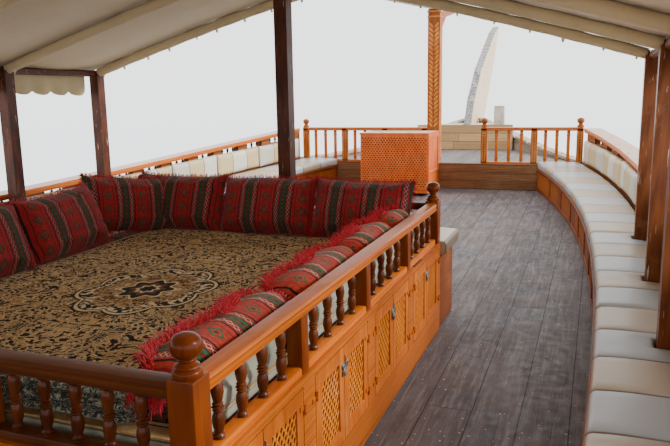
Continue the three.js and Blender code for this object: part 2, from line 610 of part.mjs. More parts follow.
// Aft deck: engine hatch, helm and the seat across the stern
const hatch = { y: [-7000, -5900], half: 600, height: 340 };
function deckBox(xs, ys, zs) {
  return moved(box(xs, ys, zs), ([x, y, z]) => lean([x, y, z + between([[ys[0], deckZ(ys[0])], [ys[1], deckZ(ys[1])]], y)]));
}
add("engine_hatch", join(deckBox([-hatch.half, hatch.half], hatch.y, [gap, hatch.height]),
  deckBox([-hatch.half - 40, hatch.half + 40], [hatch.y[0] - 40, hatch.y[1] + 40], [hatch.height - 5, hatch.height + 45])), finish.teak);
const helm = { y: -7700, wheelZ: 960, radius: 300 };
const helmZ = deckZ(helm.y) + helm.wheelZ;
const pedestal = join(deckBox([-160, 160], [helm.y, helm.y + 220], [gap, 1080]),
  deckBox([-200, 200], [helm.y - 30, helm.y + 250], [1075, 1110]),
  new THREE.CylinderGeometry(55, 55, 40, 12).translate(0, helm.y - 15, helmZ));
add("helm_pedestal", pedestal, finish.teak);

function shipWheel() {
  const y = helm.y - 35 - gap;
  const hub = new THREE.CylinderGeometry(48, 48, 70, 12).translate(0, y - 35, 0);
  const rim = new THREE.TorusGeometry(helm.radius, 22, 6, 24).rotateX(Math.PI / 2).translate(0, y - 40, 0);
  const spokes = Array.from({ length: 8 }, (_, i) => {
    const spoke = new THREE.CylinderGeometry(13, 13, helm.radius + 110, 6).translate(0, (helm.radius + 110) / 2, 0);
    return spoke.rotateX(Math.PI / 2).translate(0, y - 40, 0).rotateY((i * Math.PI) / 4);
  });
  return join(hub, rim, spokes).translate(0, 0, helmZ);
}
add("ship_wheel", shipWheel(), finish.darkTeak);
const sternSeat = { half: 1360, y: [-9400, -8920], top: 330 };
add("stern_seat", deckBox([-sternSeat.half, sternSeat.half], sternSeat.y, [2 * gap, sternSeat.top]), finish.orangeWood);
add("stern_cushion", deckBox([-sternSeat.half, sternSeat.half], sternSeat.y, [sternSeat.top + 1, sternSeat.top + seatPad]), finish.vinyl);

export default dhow;
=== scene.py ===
# Looks for the wooden dhow: camera, light, finishes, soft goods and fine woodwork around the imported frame.
# Metres, +Y to the bow, +X to starboard, +Z up, origin amidships at the waterline.
import math
import random

import bmesh
import bpy
from mathutils import Matrix, Vector, noise


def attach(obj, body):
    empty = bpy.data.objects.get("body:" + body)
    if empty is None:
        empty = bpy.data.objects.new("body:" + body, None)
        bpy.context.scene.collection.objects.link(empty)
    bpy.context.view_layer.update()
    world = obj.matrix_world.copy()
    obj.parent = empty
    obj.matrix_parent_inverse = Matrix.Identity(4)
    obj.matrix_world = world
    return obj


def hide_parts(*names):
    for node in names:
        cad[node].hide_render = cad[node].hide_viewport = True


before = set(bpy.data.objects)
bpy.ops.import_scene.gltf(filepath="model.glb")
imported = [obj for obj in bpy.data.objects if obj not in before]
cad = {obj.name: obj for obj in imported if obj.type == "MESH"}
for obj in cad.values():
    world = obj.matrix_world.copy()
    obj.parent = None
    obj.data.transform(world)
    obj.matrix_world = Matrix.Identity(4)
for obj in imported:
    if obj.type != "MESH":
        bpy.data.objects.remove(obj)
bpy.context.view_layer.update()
print("frame loaded,", len(cad), "nodes")

sides = ((1, "Starboard"), (-1, "Port"))
scene = bpy.context.scene

# Camera, where the photographer stood: inside the boat, at the aft end of the starboard walkway
view = {"x": 2.2, "y": -5.3, "z": 2.77, "toPort": 20.86, "down": 10.36, "roll": -0.963, "lens": 37.08}


def placeCamera():
    turn, dip, roll = (math.radians(view[k]) for k in ("toPort", "down", "roll"))
    ahead = Vector((-math.sin(turn) * math.cos(dip), math.cos(turn) * math.cos(dip), -math.sin(dip)))
    level = Vector((math.cos(turn), math.sin(turn), 0))
    over = level.cross(ahead)
    right = level * math.cos(roll) + over * math.sin(roll)
    above = over * math.cos(roll) - level * math.sin(roll)
    data = bpy.data.cameras.new("photoCamera")
    data.lens, data.sensor_width, data.clip_start = view["lens"], 36, 0.05
    camera = bpy.data.objects.new("photoCamera", data)
    scene.collection.objects.link(camera)
    turned = Matrix((right, above, -ahead)).transposed().to_4x4()
    camera.matrix_world = Matrix.Translation((view["x"], view["y"], view["z"])) @ turned
    scene.camera = camera


placeCamera()

light = {"sky": 2.5, "sun": 5.0, "sunAngle": 18, "sunFrom": 104, "sunHigh": 30, "fill": 8}


def placeLights():
    world = bpy.data.worlds.new("studio")
    scene.world = world
    world.use_nodes = True
    background = world.node_tree.nodes["Background"]
    background.inputs["Color"].default_value = (0.96, 0.98, 1, 1)
    background.inputs["Strength"].default_value = light["sky"]
    sun = bpy.data.lights.new("softSun", "SUN")
    sun.energy = light["sun"]
    sun.angle = math.radians(light["sunAngle"])
    lamp = bpy.data.objects.new("softSun", sun)
    # the sun stands just forward of the starboard beam and shines in under the awning
    lamp.rotation_euler = (math.radians(90 - light["sunHigh"]), 0, math.radians(light["sunFrom"]))
    scene.collection.objects.link(lamp)
    for label, place, size, share, turn in (
        ("fillAft", (0.6, -7.4, 2.9), 2.4, 1.0, (math.radians(65), 0, 0)),
        ("fillTop", (0.4, -2.6, 3.3), 2.6, 0.7, (0, 0, 0)),
    ):
        panel = bpy.data.lights.new(label, "AREA")
        panel.energy, panel.size = light["fill"] * share, size
        holder = bpy.data.objects.new(label, panel)
        holder.location, holder.rotation_euler = place, turn
        holder.visible_camera = False
        scene.collection.objects.link(holder)


placeLights()

# Node helpers. New nodes go into the tree that is being built
work = {"tree": None}


class Signal:
    # the output of a node; each operator on it adds a math node
    def __init__(self, socket):
        self.socket = socket


def addNode(kind, settings, inputs):
    node = work["tree"].nodes.new("ShaderNode" + kind)
    for name, value in settings.items():
        setattr(node, name, value)
    for slot, value in inputs.items():
        plug(node.inputs[slot], value)
    return node


def put(kind, output, settings=None, **inputs):
    node = addNode(kind, settings or {}, {name.replace("_", " "): value for name, value in inputs.items()})
    return Signal(node.outputs[output])


def plug(socket, value):
    if isinstance(value, Signal):
        work["tree"].links.new(value.socket, socket)
    elif hasattr(value, "__len__") and len(value) == 3 and socket.type == "RGBA":
        socket.default_value = (*value, 1)
    else:
        socket.default_value = value


def calc(operation, *values):
    return Signal(addNode("Math", {"operation": operation}, dict(enumerate(values))).outputs[0])


def operator(operation, swapped=False):
    return lambda *values: calc(operation, *(reversed(values) if swapped else values))


for sign, operation in (
    ("add", "ADD"), ("sub", "SUBTRACT"), ("mul", "MULTIPLY"), ("truediv", "DIVIDE"), ("mod", "FLOORED_MODULO"),
    ("pow", "POWER"), ("lt", "LESS_THAN"), ("gt", "GREATER_THAN"), ("abs", "ABSOLUTE"), ("floor", "FLOOR"),
):
    setattr(Signal, f"__{sign}__", operator(operation))
    if sign in ("add", "sub", "mul"):
        setattr(Signal, f"__r{sign}__", operator(operation, swapped=True))


def mixed(amount, first, second, way="MIX"):
    node = addNode("Mix", {"data_type": "RGBA", "blend_type": way}, {0: amount, 6: first, 7: second})
    return Signal(node.outputs[2])


def spread(value, low, high, toLow=0.0, toHigh=1.0):
    return put("MapRange", "Result", From_Min=low, From_Max=high, To_Min=toLow, To_Max=toHigh, Value=value)


def inside(value, limit, soft):
    return spread(value, limit - soft, limit + soft, 1, 0)


def banded(colour, value, soft, *bands):
    # each band's shade goes over the last one where the value is under the band's limit
    for limit, shade in bands:
        colour = mixed(inside(value, limit, soft), colour, shade)
    return colour


def parts(vector):
    return [Signal(socket) for socket in addNode("SeparateXYZ", {}, {0: vector}).outputs]


def vectorOf(*values):
    return Signal(addNode("CombineXYZ", {}, dict(enumerate(values))).outputs[0])


def shaded(colour, level):
    return mixed(1.0, colour, vectorOf(level, level, level), "MULTIPLY")


def speckle(vector, scale, detail=3.0, rough=0.55, bend=0.0):
    return put("TexNoise", "Fac", Vector=vector, Scale=scale, Detail=detail, Roughness=rough, Distortion=bend)


def drawn(value):
    # a random number for each whole number
    return put("TexWhiteNoise", "Value", {"noise_dimensions": "1D"}, W=value)


def cells(vector, scale, loose):
    return put("TexVoronoi", "Distance", Vector=vector, Scale=scale, Randomness=loose)


def clamped(value):
    return put("Clamp", "Result", Value=value)


def placeNow():
    return put("TexCoord", "Object")


def facing():
    return parts(put("NewGeometry", "Normal"))


def upFacing():
    return spread(facing()[2], 0.55, 0.85)


def nearWhole(value):
    part = calc("FRACT", value)
    return calc("MINIMUM", part, 1.0 - part)


def newGroup(name, takes, gives):
    # an input without a value is a vector, and one with four numbers a colour
    group = bpy.data.node_groups.new(name, "ShaderNodeTree")
    work["tree"] = group
    for label, value in takes.items():
        kind = "Vector" if value is None else "Float" if isinstance(value, float) else "Color"
        socket = group.interface.new_socket(label, in_out="INPUT", socket_type="NodeSocket" + kind)
        if value is not None:
            socket.default_value = value
    for label in gives:
        kind = "Color" if label == "Color" else "Float"
        group.interface.new_socket(label, in_out="OUTPUT", socket_type="NodeSocket" + kind)
    take = {socket.name: Signal(socket) for socket in group.nodes.new("NodeGroupInput").outputs}
    return group, take, group.nodes.new("NodeGroupOutput").inputs


def use(group, **values):
    return {socket.name: Signal(socket) for socket in addNode("Group", {"node_tree": group}, values).outputs}


# Shared effects: grain, the seams between boards and worn patches
def makeGrain():
    takes = {"Place": None, "Light": (1, 1, 1, 1), "Dark": (0, 0, 0, 1), "Streaks": 1.0}
    group, take, give = newGroup("woodGrain", takes, ("Color", "Height"))
    broad = speckle(take["Place"], 1.0, 4, 0.6, 0.8)
    fine = speckle(take["Place"], 5.5, 3, 0.65)
    rings = put("TexWave", "Fac", {"bands_direction": "Z"}, Vector=take["Place"], Scale=0.5, Distortion=7.0, Detail=2.0)
    figure = broad * 0.6 + rings * 0.22 + fine * 0.28
    amount = clamped((figure - 0.55) * (take["Streaks"] * 2.2) + 0.5)
    plug(give["Color"], mixed(amount, take["Light"], take["Dark"]))
    plug(give["Height"], 1.0 - amount)
    return group


def makeBoards():
    takes = {"Across": 0.0, "Along": 0.0, "Width": 0.2, "Seam": 0.003, "Length": 3.0}
    group, take, give = newGroup("boardSeams", takes, ("Tone", "Seam", "Shift"))
    row = take["Across"] / take["Width"]
    board = math.floor(row)
    column = take["Along"] / take["Length"] + drawn(board) * 7.0
    tone = drawn(board * 17.3 + math.floor(column))
    side = nearWhole(row) * take["Width"] < take["Seam"] * 0.5
    butt = nearWhole(column) * take["Length"] < take["Seam"] * 0.4
    plug(give["Tone"], tone)
    plug(give["Seam"], calc("MAXIMUM", side, butt))
    plug(give["Shift"], tone * 40.0)
    return group


def makeWear():
    takes = {"Place": None, "Scale": 3.0, "Share": 0.4, "Edge": 0.05}
    group, take, give = newGroup("wornPatches", takes, ("Mask", "Dust"))
    large = speckle(take["Place"], take["Scale"], 6, 0.7, 0.3)
    small = speckle(take["Place"], take["Scale"] * 9.0, 3, 0.7)
    level = large * 0.75 + small * 0.25
    limit = 1.0 - (0.3 + take["Share"] * 0.4)
    plug(give["Mask"], clamped((level - limit) / take["Edge"] + 0.5))
    plug(give["Dust"], small)
    return group


grainGroup, boardGroup, wearGroup = makeGrain(), makeBoards(), makeWear()


def grained(place, light, dark, streaks=1.0):
    return use(grainGroup, Place=place, Light=light, Dark=dark, Streaks=streaks)


def boarded(across, along, width, seam, length):
    return use(boardGroup, Across=across, Along=along, Width=width, Seam=seam, Length=length)


def wear(place, scale, share, edge):
    return use(wearGroup, Place=place, Scale=scale, Share=share, Edge=edge)


def newFinish(name, rough=0.6, **values):
    # the material, its shader's inputs, and the place on the piece
    material = bpy.data.materials.new(name)
    material.use_nodes = True
    work["tree"] = material.node_tree
    shader = material.node_tree.nodes["Principled BSDF"].inputs
    for key, value in dict(values, Roughness=rough).items():
        shader[key.replace("_", " ")].default_value = value
    return material, shader, placeNow()


def finished(material, shader, colour, height, strength, depth):
    plug(shader["Base Color"], colour)
    plug(shader["Normal"], put("Bump", "Normal", Strength=strength, Distance=depth, Height=height))
    return material


grainScale = {"x": (1.6, 26, 26), "y": (26, 1.6, 26), "z": (26, 26, 1.6)}


def stretched(place, along, shift=None):
    if shift is None:
        return put("Mapping", "Vector", Vector=place, Scale=grainScale[along])
    return put("Mapping", "Vector", Vector=place, Scale=grainScale[along], Location=vectorOf(shift, shift, shift))


# each wood: light and dark of its grain, roughness, how much of it is worn, and the colour where it is
woods = {
    "orangeWood": ((0.52, 0.135, 0.012), (0.34, 0.068, 0.005), 0.34, 0.2, (0.5, 0.24, 0.08)),
    "teakRail": ((0.66, 0.165, 0.008), (0.38, 0.068, 0.003), 0.34, 0.2, (0.42, 0.2, 0.09)),
    "darkTurned": ((0.16, 0.040, 0.011), (0.055, 0.012, 0.004), 0.18, 0.1, (0.3, 0.1, 0.035)),
    "darkPost": ((0.115, 0.030, 0.011), (0.042, 0.011, 0.005), 0.42, 0.3, (0.27, 0.11, 0.05)),
    "brightPost": ((0.23, 0.070, 0.018), (0.10, 0.026, 0.008), 0.36, 0.25, (0.55, 0.28, 0.12)),
    "agedBoard": ((0.25, 0.105, 0.038), (0.095, 0.037, 0.015), 0.55, 0.4, (0.32, 0.19, 0.09)),
    "latticeWood": ((0.66, 0.205, 0.018), (0.47, 0.115, 0.008), 0.42, 0.2, (0.75, 0.42, 0.18)),
    "benchLattice": ((0.33, 0.095, 0.012), (0.23, 0.053, 0.006), 0.42, 0.2, (0.4, 0.2, 0.09)),
    # darker newel wood: painted shade, as the newels stand in shade
    "newelWoodDarkForShade": ((0.24, 0.052, 0.006), (0.13, 0.022, 0.003), 0.24, 0.1, (0.4, 0.16, 0.06)),
    # darker rail wood: painted shade for the platform's cross rails, which stand in shade
    "shadedRail": ((0.16, 0.043, 0.008), (0.075, 0.017, 0.003), 0.36, 0.2, (0.3, 0.14, 0.06)),
    "benchWood": ((0.20, 0.048, 0.010), (0.105, 0.022, 0.004), 0.4, 0.3, (0.36, 0.17, 0.07)),
    "carvedGround": ((0.30, 0.085, 0.010), (0.15, 0.036, 0.004), 0.45, 0.2, (0.4, 0.2, 0.08)),
    "carvedLeaf": ((0.62, 0.20, 0.025), (0.40, 0.095, 0.008), 0.4, 0.4, (0.66, 0.38, 0.16)),
    "perforated": ((0.66, 0.135, 0.022), (0.50, 0.085, 0.012), 0.5, 0.3, (0.6, 0.24, 0.12)),
}


def woodFinish(name, kind, along="y", boards=0.0, seam=0.003, topWearAndLight=0.0, flakes=0.0):
    # the grain runs along an axis; boards is their width up the piece, or 0 for one solid timber
    light, dark, rough, share, scuff = woods[kind]
    material, shader, place = newFinish(name, rough, Coat_Weight=0.05, Coat_Roughness=0.10, Specular_IOR_Level=0.18)
    x, y, z = parts(place)
    rows = boarded(z, {"x": x, "y": y, "z": z}[along], boards, seam, 2.7) if boards else None
    spot = stretched(place, along, rows["Shift"] if rows else None)
    grain = grained(spot, light, dark)
    worn = wear(place, 2.4, share, 0.12)
    colour = mixed(worn["Mask"] * 0.25, grain["Color"], scuff)
    if flakes:
        chips = speckle(stretched(place, along), 3.2, 2, 0.7) > 1 - flakes
        colour = mixed(chips * spread(speckle(place, 2.2, 2), 0.45, 0.6), colour, (0.56, 0.44, 0.33))
    # up-facing faces paler where scuffed: partly real wear, partly a painted highlight of the light falling on tops
    if topWearAndLight:
        scuffed = wear(spot, 0.7, 0.75, 0.2)
        colour = mixed(upFacing() * scuffed["Mask"] * topWearAndLight, colour, (0.52, 0.38, 0.30))
    height = grain["Height"]
    if rows:
        colour = shaded(colour, spread(rows["Tone"], 0, 1, 0.72, 1.12))
        colour = mixed(rows["Seam"], colour, (0.02, 0.012, 0.008))
        height = height - rows["Seam"] * 4.0
    plug(shader["Roughness"], worn["Mask"] * 0.2 + rough + worn["Dust"] * 0.12)
    return finished(material, shader, colour, height, 0.35, 0.0012)


print("node groups made")


# The boat's lines, as the frame has them
stations = [-9.56, -9.5, -8.9, -8.4, -7.3, -6.2, -5.2, -4.3, -3.0, -1.8, -0.6, 0.6, 1.8, 2.8, 3.7, 4.375, 4.45]
postYs = [0.5 - 1.15 * i for i in range(9)]
platform = {"port": -1.1, "starboard": 1.25, "aft": -3.86, "fore": -0.84, "mat": 0.66}
bench = {"height": 0.31, "depth": 0.51, "pad": 0.09}
awning = {"eave": 3.085, "rise": 0.675, "curve": 1.15, "drop": 0.046, "flat": 0.036}


def railHalf(y):
    run = y + 0.8
    return 2.76 * (1 - (run / 8.95) ** 2.7) if run > 0 else 2.76 * (1 - 0.375 * (-run / 9.7) ** 2.2)


def deckCurve(y):
    return 1.15 + (0.31 * ((y + 4.3) / 8.75) ** 2 if y > -4.3 else 0.17 * ((y + 4.3) / 5) ** 2)


def onLine(height, a, b, y):
    # the straight line between a curve's heights at a and b
    return height(a) + (height(b) - height(a)) * (y - a) / (b - a)


def deckZ(y):
    i = 1
    while i < len(stations) - 1 and y > stations[i]:
        i += 1
    return onLine(deckCurve, stations[i - 1], stations[i], y)


def capZ(y):
    return 1.95 + (0.0081 if y > -2.3 else 0.005) * (y + 2.3) ** 2


def seatRise(y):
    return onLine(deckZ, platform["aft"], platform["fore"], y)


def innerWall(y):
    return railHalf(y) - 0.035


def benchFront(y):
    return railHalf(y) - bench["depth"] - 0.027 * max(y + 0.8, 0)


def benchTop(y):
    return deckZ(y) + bench["height"]


def postX(y):
    return railHalf(y + (0.05 if y > -0.8 else -0.05)) - 0.19


def awningZ(x, y):
    return awning["eave"] + awning["rise"] * (1 - abs(x / postX(y)) ** awning["curve"])


def ripple(*place):
    return noise.noise(Vector(place))


def lean(x, y, z):
    # the stern leans aft
    share = min(max((-8.4 - y) / 1.16, 0), 1)
    return Vector((x, y - 0.28 * share * z, z))


# Modelling helpers
def clearAll():
    if bpy.context.object and bpy.context.object.mode != "OBJECT":
        bpy.ops.object.mode_set(mode="OBJECT")
    bpy.ops.object.select_all(action="DESELECT")


def pick(piece):
    clearAll()
    piece.select_set(True)
    bpy.context.view_layer.objects.active = piece
    return piece


def settle(piece):
    pick(piece)
    bpy.ops.object.transform_apply(location=True, rotation=True, scale=True)
    return piece


def named(piece, name):
    piece.name = name
    piece.data.name = name
    return piece


def primitive(kind, **values):
    clearAll()
    getattr(bpy.ops.mesh, f"primitive_{kind}_add")(**values)
    return bpy.context.object


def edited(piece, **tools):
    # each mesh tool, with its values, works on the whole piece
    pick(piece)
    bpy.ops.object.mode_set(mode="EDIT")
    for tool, values in tools.items():
        bpy.ops.mesh.select_all(action="SELECT")
        getattr(bpy.ops.mesh, tool)(**values)
    bpy.ops.object.mode_set(mode="OBJECT")
    return piece


def changed(piece, kind, **values):
    # a modifier, applied at once
    pick(piece)
    step = piece.modifiers.new("step", kind)
    for name, value in values.items():
        setattr(step, name, value)
    bpy.ops.object.modifier_apply(modifier="step")
    return piece


def outward(piece):
    return edited(piece, remove_doubles={"threshold": 0.0001}, normals_make_consistent={"inside": False})


def thicken(piece, depth, offset=-1.0):
    return changed(piece, "SOLIDIFY", thickness=depth, offset=offset)


def smooth(piece, angle=35):
    pick(piece)
    bpy.ops.object.shade_smooth_by_angle(angle=math.radians(angle))
    return piece


def block(x, y, z, bevel=0.0, steps=1):
    # x, y, z as (low, high)
    middle, size = [(a + b) / 2 for a, b in (x, y, z)], [b - a for a, b in (x, y, z)]
    piece = settle(primitive("cube", size=1, location=middle, scale=size))
    return edited(piece, bevel={"offset": bevel, "segments": steps, "affect": "EDGES"}) if bevel else piece


def finelyCut(size, cuts):
    return edited(primitive("cube", size=size), subdivide={"number_cuts": cuts})


def loop(at, turned, large, thin, steps, sides):
    # a ring of round wire or cord
    return settle(primitive("torus", location=at, rotation=turned, major_radius=large, minor_radius=thin,
                            major_segments=steps, minor_segments=sides))


def copyOf(piece):
    twin = piece.copy()
    twin.data = piece.data.copy()
    scene.collection.objects.link(twin)
    return twin


def joined(pieces, name):
    clearAll()
    for piece in pieces:
        piece.select_set(True)
    bpy.context.view_layer.objects.active = pieces[0]
    if len(pieces) > 1:
        bpy.ops.object.join()
    return named(bpy.context.object, name)


def reshape(piece, rule):
    for vertex in piece.data.vertices:
        vertex.co = rule(vertex.co)
    piece.data.update()
    return piece


def fromPoints(name, points, faces, edges=()):
    mesh = bpy.data.meshes.new(name)
    mesh.from_pydata([tuple(p) for p in points], list(edges), faces)
    mesh.update()
    piece = bpy.data.objects.new(name, mesh)
    scene.collection.objects.link(piece)
    return piece


def between(low, high, count):
    return [low + (high - low) * k / count for k in range(count + 1)]


def around(count):
    return [2 * math.pi * j / count for j in range(count)]


def gridFaces(base, rows, count, closed):
    pairs = [(i * count + k, i * count + (k + 1) % count) for i in range(rows - 1)
             for k in range(count if closed else count - 1)]
    return [(base + a, base + b, base + b + count, base + a + count) for a, b in pairs]


def skin(name, rows, closed=False, ends=False):
    # a sheet over rows of points; closed joins each row's last point to its first, ends fills the first and last row
    count = len(rows[0])
    faces = gridFaces(0, len(rows), count, closed)
    if ends:
        last = len(rows) * count - 1
        faces += [tuple(range(count)), tuple(last - k for k in range(count))]
    return fromPoints(name, [p for row in rows for p in row], faces)


def tube(name, rows):
    return outward(skin(name, rows, closed=True, ends=True))


def turnedPiece(profile, at, sides=16):
    # profile of (radius, height), spun about the upright axis at a place
    piece = fromPoints("turned", [(r, 0, z) for r, z in profile], [], [(i, i + 1) for i in range(len(profile) - 1)])
    spin = {"steps": sides, "angle": 2 * math.pi, "center": (0, 0, 0), "axis": (0, 0, 1)}
    edited(piece, spin=spin, remove_doubles={"threshold": 0.0001}, normals_make_consistent={"inside": False})
    piece.location = at
    return smooth(settle(piece), 40)


def extent(piece, axis):
    places = [v.co[axis] for v in piece.data.vertices]
    return min(places), max(places)


def puffUp(piece, voxel, pressure, cap):
    # remeshes a pad, blows it up as cloth, keeps every point within cap, and brings back the pad's width and height
    cut = [extent(piece, axis) for axis in range(3)]
    changed(piece, "REMESH", mode="VOXEL", voxel_size=voxel)
    start = [v.co.copy() for v in piece.data.vertices]
    cloth = piece.modifiers.new("cloth", "CLOTH")
    cloth.settings.use_pressure = True
    cloth.settings.uniform_pressure_force = pressure
    cloth.settings.effector_weights.gravity = 0
    cloth.settings.quality = 5
    for step in range(1, 21):
        scene.frame_set(step)
    shaped = piece.evaluated_get(bpy.context.evaluated_depsgraph_get())
    ends = [v.co.copy() for v in shaped.data.vertices]
    piece.modifiers.remove(cloth)
    scene.frame_set(1)
    for vertex, a, b in zip(piece.data.vertices, start, ends):
        way = b - a
        if way.length > cap:
            way *= cap / way.length
        vertex.co = a + way
    for axis in (0, 2):
        low, high = extent(piece, axis)
        for vertex in piece.data.vertices:
            vertex.co[axis] = cut[axis][0] + (vertex.co[axis] - low) * (cut[axis][1] - cut[axis][0]) / (high - low)
    piece.data.update()
    return piece


def setUv(piece, name, rule):
    # a UV map from a rule for a corner's place
    layer = piece.data.uv_layers.new(name=name)
    places = [v.co for v in piece.data.vertices]
    for corner in piece.data.loops:
        layer.data[corner.index].uv = rule(places[corner.vertex_index])
    piece.data.uv_layers.active = layer
    return piece


def shiftUv(piece, name, across):
    for corner in piece.data.uv_layers[name].data:
        corner.uv = (corner.uv[0] + across, corner.uv[1])


def dress(piece, material, body="boat"):
    piece.data.materials.clear()
    piece.data.materials.append(material)
    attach(piece, body)
    return piece


def paintCad(names, material):
    for name in names:
        data = cad[name].data
        data.materials.clear()
        data.materials.append(material)


print("helpers ready")


# Finishes
def deckFinish(name, light, dark, width):
    material, shader, place = newFinish(name, 0.62, Specular_IOR_Level=0.17)
    x, y, _ = parts(place)
    rows = boarded(x, y, width, 0.0055, 4.2)
    spot = stretched(place, "y", rows["Shift"])
    grain = grained(spot, light, dark, 0.9)
    worn = wear(place, 1.6, 0.45, 0.25)
    scrape = wear(spot, 1.2, 0.35, 0.12)
    colour = shaded(grain["Color"], spread(rows["Tone"], 0, 1, 0.78, 1.2))
    colour = mixed(worn["Mask"] * 0.5, colour, (0.17, 0.12, 0.085))
    colour = mixed(scrape["Mask"] * 0.4, colour, (0.27, 0.235, 0.235))
    colour = mixed((speckle(place, 55, 1, 0.4) > 0.765) * 0.75, colour, (0.6, 0.58, 0.55))
    colour = mixed(rows["Seam"], colour, (0.018, 0.015, 0.014))
    plug(shader["Roughness"], spread(worn["Dust"], 0.3, 0.7, 0.42, 0.72))
    return finished(material, shader, colour, grain["Height"] - rows["Seam"] * 5.0, 0.5, 0.0015)


def hullFinish(name, antifouled=True):
    # strakes run with the sheer; below the boot top the planks are limed white
    material, shader, place = newFinish(name, 0.5, Coat_Weight=0.04, Specular_IOR_Level=0.2)
    _, y, z = parts(place)
    run = y + 4.3
    sheer = run * run * spread(run > 0.0, 0, 1, 0.17 / 25, 0.31 / 76.6)
    rows = boarded(z - sheer, y, 0.165, 0.006, 3.6)
    grain = grained(stretched(place, "y", rows["Shift"]), (0.155, 0.052, 0.015), (0.055, 0.017, 0.006), 1.1)
    worn = wear(place, 1.3, 0.4, 0.2)
    colour = shaded(grain["Color"], spread(rows["Tone"], 0, 1, 0.75, 1.15))
    colour = mixed(worn["Mask"] * 0.35, colour, (0.21, 0.12, 0.06))
    if antifouled:
        ragged = (speckle(place, 3.0, 3) - 0.5) * 0.05
        grime = wear(place, 2.2, 0.5, 0.3)
        lime = mixed(grime["Mask"] * 0.6, (0.50, 0.49, 0.44), (0.25, 0.25, 0.19))
        colour = mixed(z + ragged < 0.08, colour, lime)
        colour = mixed(abs(z - 0.13) < 0.045, colour, (0.03, 0.07, 0.09))
    colour = mixed(rows["Seam"], colour, (0.02, 0.013, 0.01))
    nails = cells(place, 5.2, 0.25) < 0.055
    colour = mixed(nails * 0.5, colour, (0.06, 0.03, 0.02))
    return finished(material, shader, colour, grain["Height"] - rows["Seam"] * 5.0, 0.45, 0.0022)


def paintFinish(name, share):
    material, shader, place = newFinish(name)
    spot = stretched(place, "y")
    wood = grained(spot, (0.46, 0.33, 0.25), (0.2, 0.12, 0.08))
    peel, streak = wear(place, 5.0, share, 0.02), wear(spot, 0.8, share * 0.9, 0.06)
    bare = calc("MAXIMUM", peel["Mask"], streak["Mask"] * 0.8)
    paint = mixed(speckle(place, 7, 4), (0.74, 0.7, 0.64), (0.56, 0.47, 0.41))
    return finished(material, shader, mixed(bare, paint, wood["Color"]), wood["Height"] * 0.4 - bare, 0.6, 0.0008)


def dimmed(colour, share):
    return tuple(v * share for v in colour)


def canvasFinish(name, tone):
    material, shader, place = newFinish(name, 0.85, Sheen_Weight=0.2)
    x, y, z = parts(place)
    thread = 260 * 2 * math.pi
    weave = calc("SINE", (x + z * 0.37) * thread) * calc("SINE", (y + z * 0.71) * thread)
    stain, drip = wear(place, 0.9, 0.45, 0.3), wear(place, 4.5, 0.25, 0.1)
    colour = mixed(stain["Mask"] * 0.5, tone, dimmed(tone, 0.72))
    colour = mixed(drip["Mask"] * 0.3, colour, dimmed(tone, 0.6))
    # the side that the sun weathers is greyer and darker
    colour = mixed(upFacing(), colour, mixed(stain["Mask"], dimmed(tone, 0.50), dimmed(tone, 0.36)))
    return finished(material, shader, colour, weave * 0.5 + 0.5, 0.25, 0.0004)


def clothPlace(name):
    return parts(put("UVMap", "UV", {"uv_map": name}))[:2]


def vinylFinish(name, pale, warm):
    # the UV map counts strips along u; every other one is warmer, with a dark line at each seam
    material, shader, place = newFinish(name, 0.42, Coat_Weight=0.08)
    u, _ = clothPlace("strips")
    index = math.floor(u)
    colour = shaded(mixed(index % 2.0, pale, warm), spread(drawn(index), 0, 1, 0.88, 1.06))
    colour = mixed(wear(place, 3.5, 0.35, 0.3)["Mask"] * 0.3, colour, (0.42, 0.34, 0.25))
    colour = mixed(inside(nearWhole(u), 0.020, 0.008), colour, (0.14, 0.10, 0.065))
    crease, fine = speckle(place, 14, 5, 0.6, 0.6), speckle(place, 900, 1, 0.5)
    return finished(material, shader, colour, crease + fine * 0.05, 0.3, 0.002)


def striped(value, stops):
    # plain stripes, each from its place up to the next one's
    node = addNode("ValToRGB", {}, {"Fac": value})
    band = node.color_ramp
    band.interpolation = "CONSTANT"
    while len(band.elements) < len(stops):
        band.elements.new(0.5)
    for element, (place, colour) in zip(band.elements, stops):
        element.position, element.color = place, (*colour, 1)
    return Signal(node.outputs["Color"])


def weaveFinish(name, bright=False):
    # stripes across u, small figures along v, in metres of cloth
    material, shader, place = newFinish(name, 0.95, Sheen_Weight=0.08, Sheen_Roughness=0.5)
    u, v = clothPlace("cloth")
    t = calc("FRACT", u / 0.262)
    red, deep, black = (0.30, 0.008, 0.009), (0.10, 0.004, 0.005), (0.008, 0.005, 0.006)
    green, olive, cream = (0.024, 0.042, 0.018), (0.05, 0.055, 0.02), (0.32, 0.16, 0.12)
    if bright:
        red, deep, green, cream = (0.50, 0.045, 0.022), (0.34, 0.018, 0.014), (0.045, 0.13, 0.055), (0.62, 0.48, 0.33)
    colour = striped(t, [
        (0.0, black), (0.028, red), (0.06, deep), (0.145, red), (0.17, black), (0.185, green), (0.24, olive),
        (0.29, green), (0.345, black), (0.36, red), (0.385, deep), (0.47, red), (0.50, black), (0.528, red),
        (0.60, deep), (0.62, red), (0.90, deep), (0.92, red)])
    wave = abs(calc("FRACT", v / 0.028) - 0.5)
    for middle in (0.102, 0.427):
        away = abs(t - middle)
        colour = mixed((abs(away - wave * 0.075) < 0.0085) * (away < 0.04), colour, cream)
    along = abs(calc("FRACT", v / 0.092) - 0.5)
    reach = abs(t - 0.76) / 0.115 + along / 0.40
    for limit, shade in ((1.0, green), (0.62, red), (0.34, olive)):
        colour = mixed(reach < limit, colour, shade)
    small = abs(t - 0.265) / 0.05 + wave / 0.42
    colour = mixed(small < 0.7, colour, deep)
    rib = calc("SINE", v * (2 * math.pi / 0.0042))
    colour = shaded(colour, rib * 0.12 + spread(speckle(place, 60, 3), 0.2, 0.8, 0.6, 1.35))
    return finished(material, shader, colour, rib + speckle(place, 240, 2), 0.35, 0.0012)


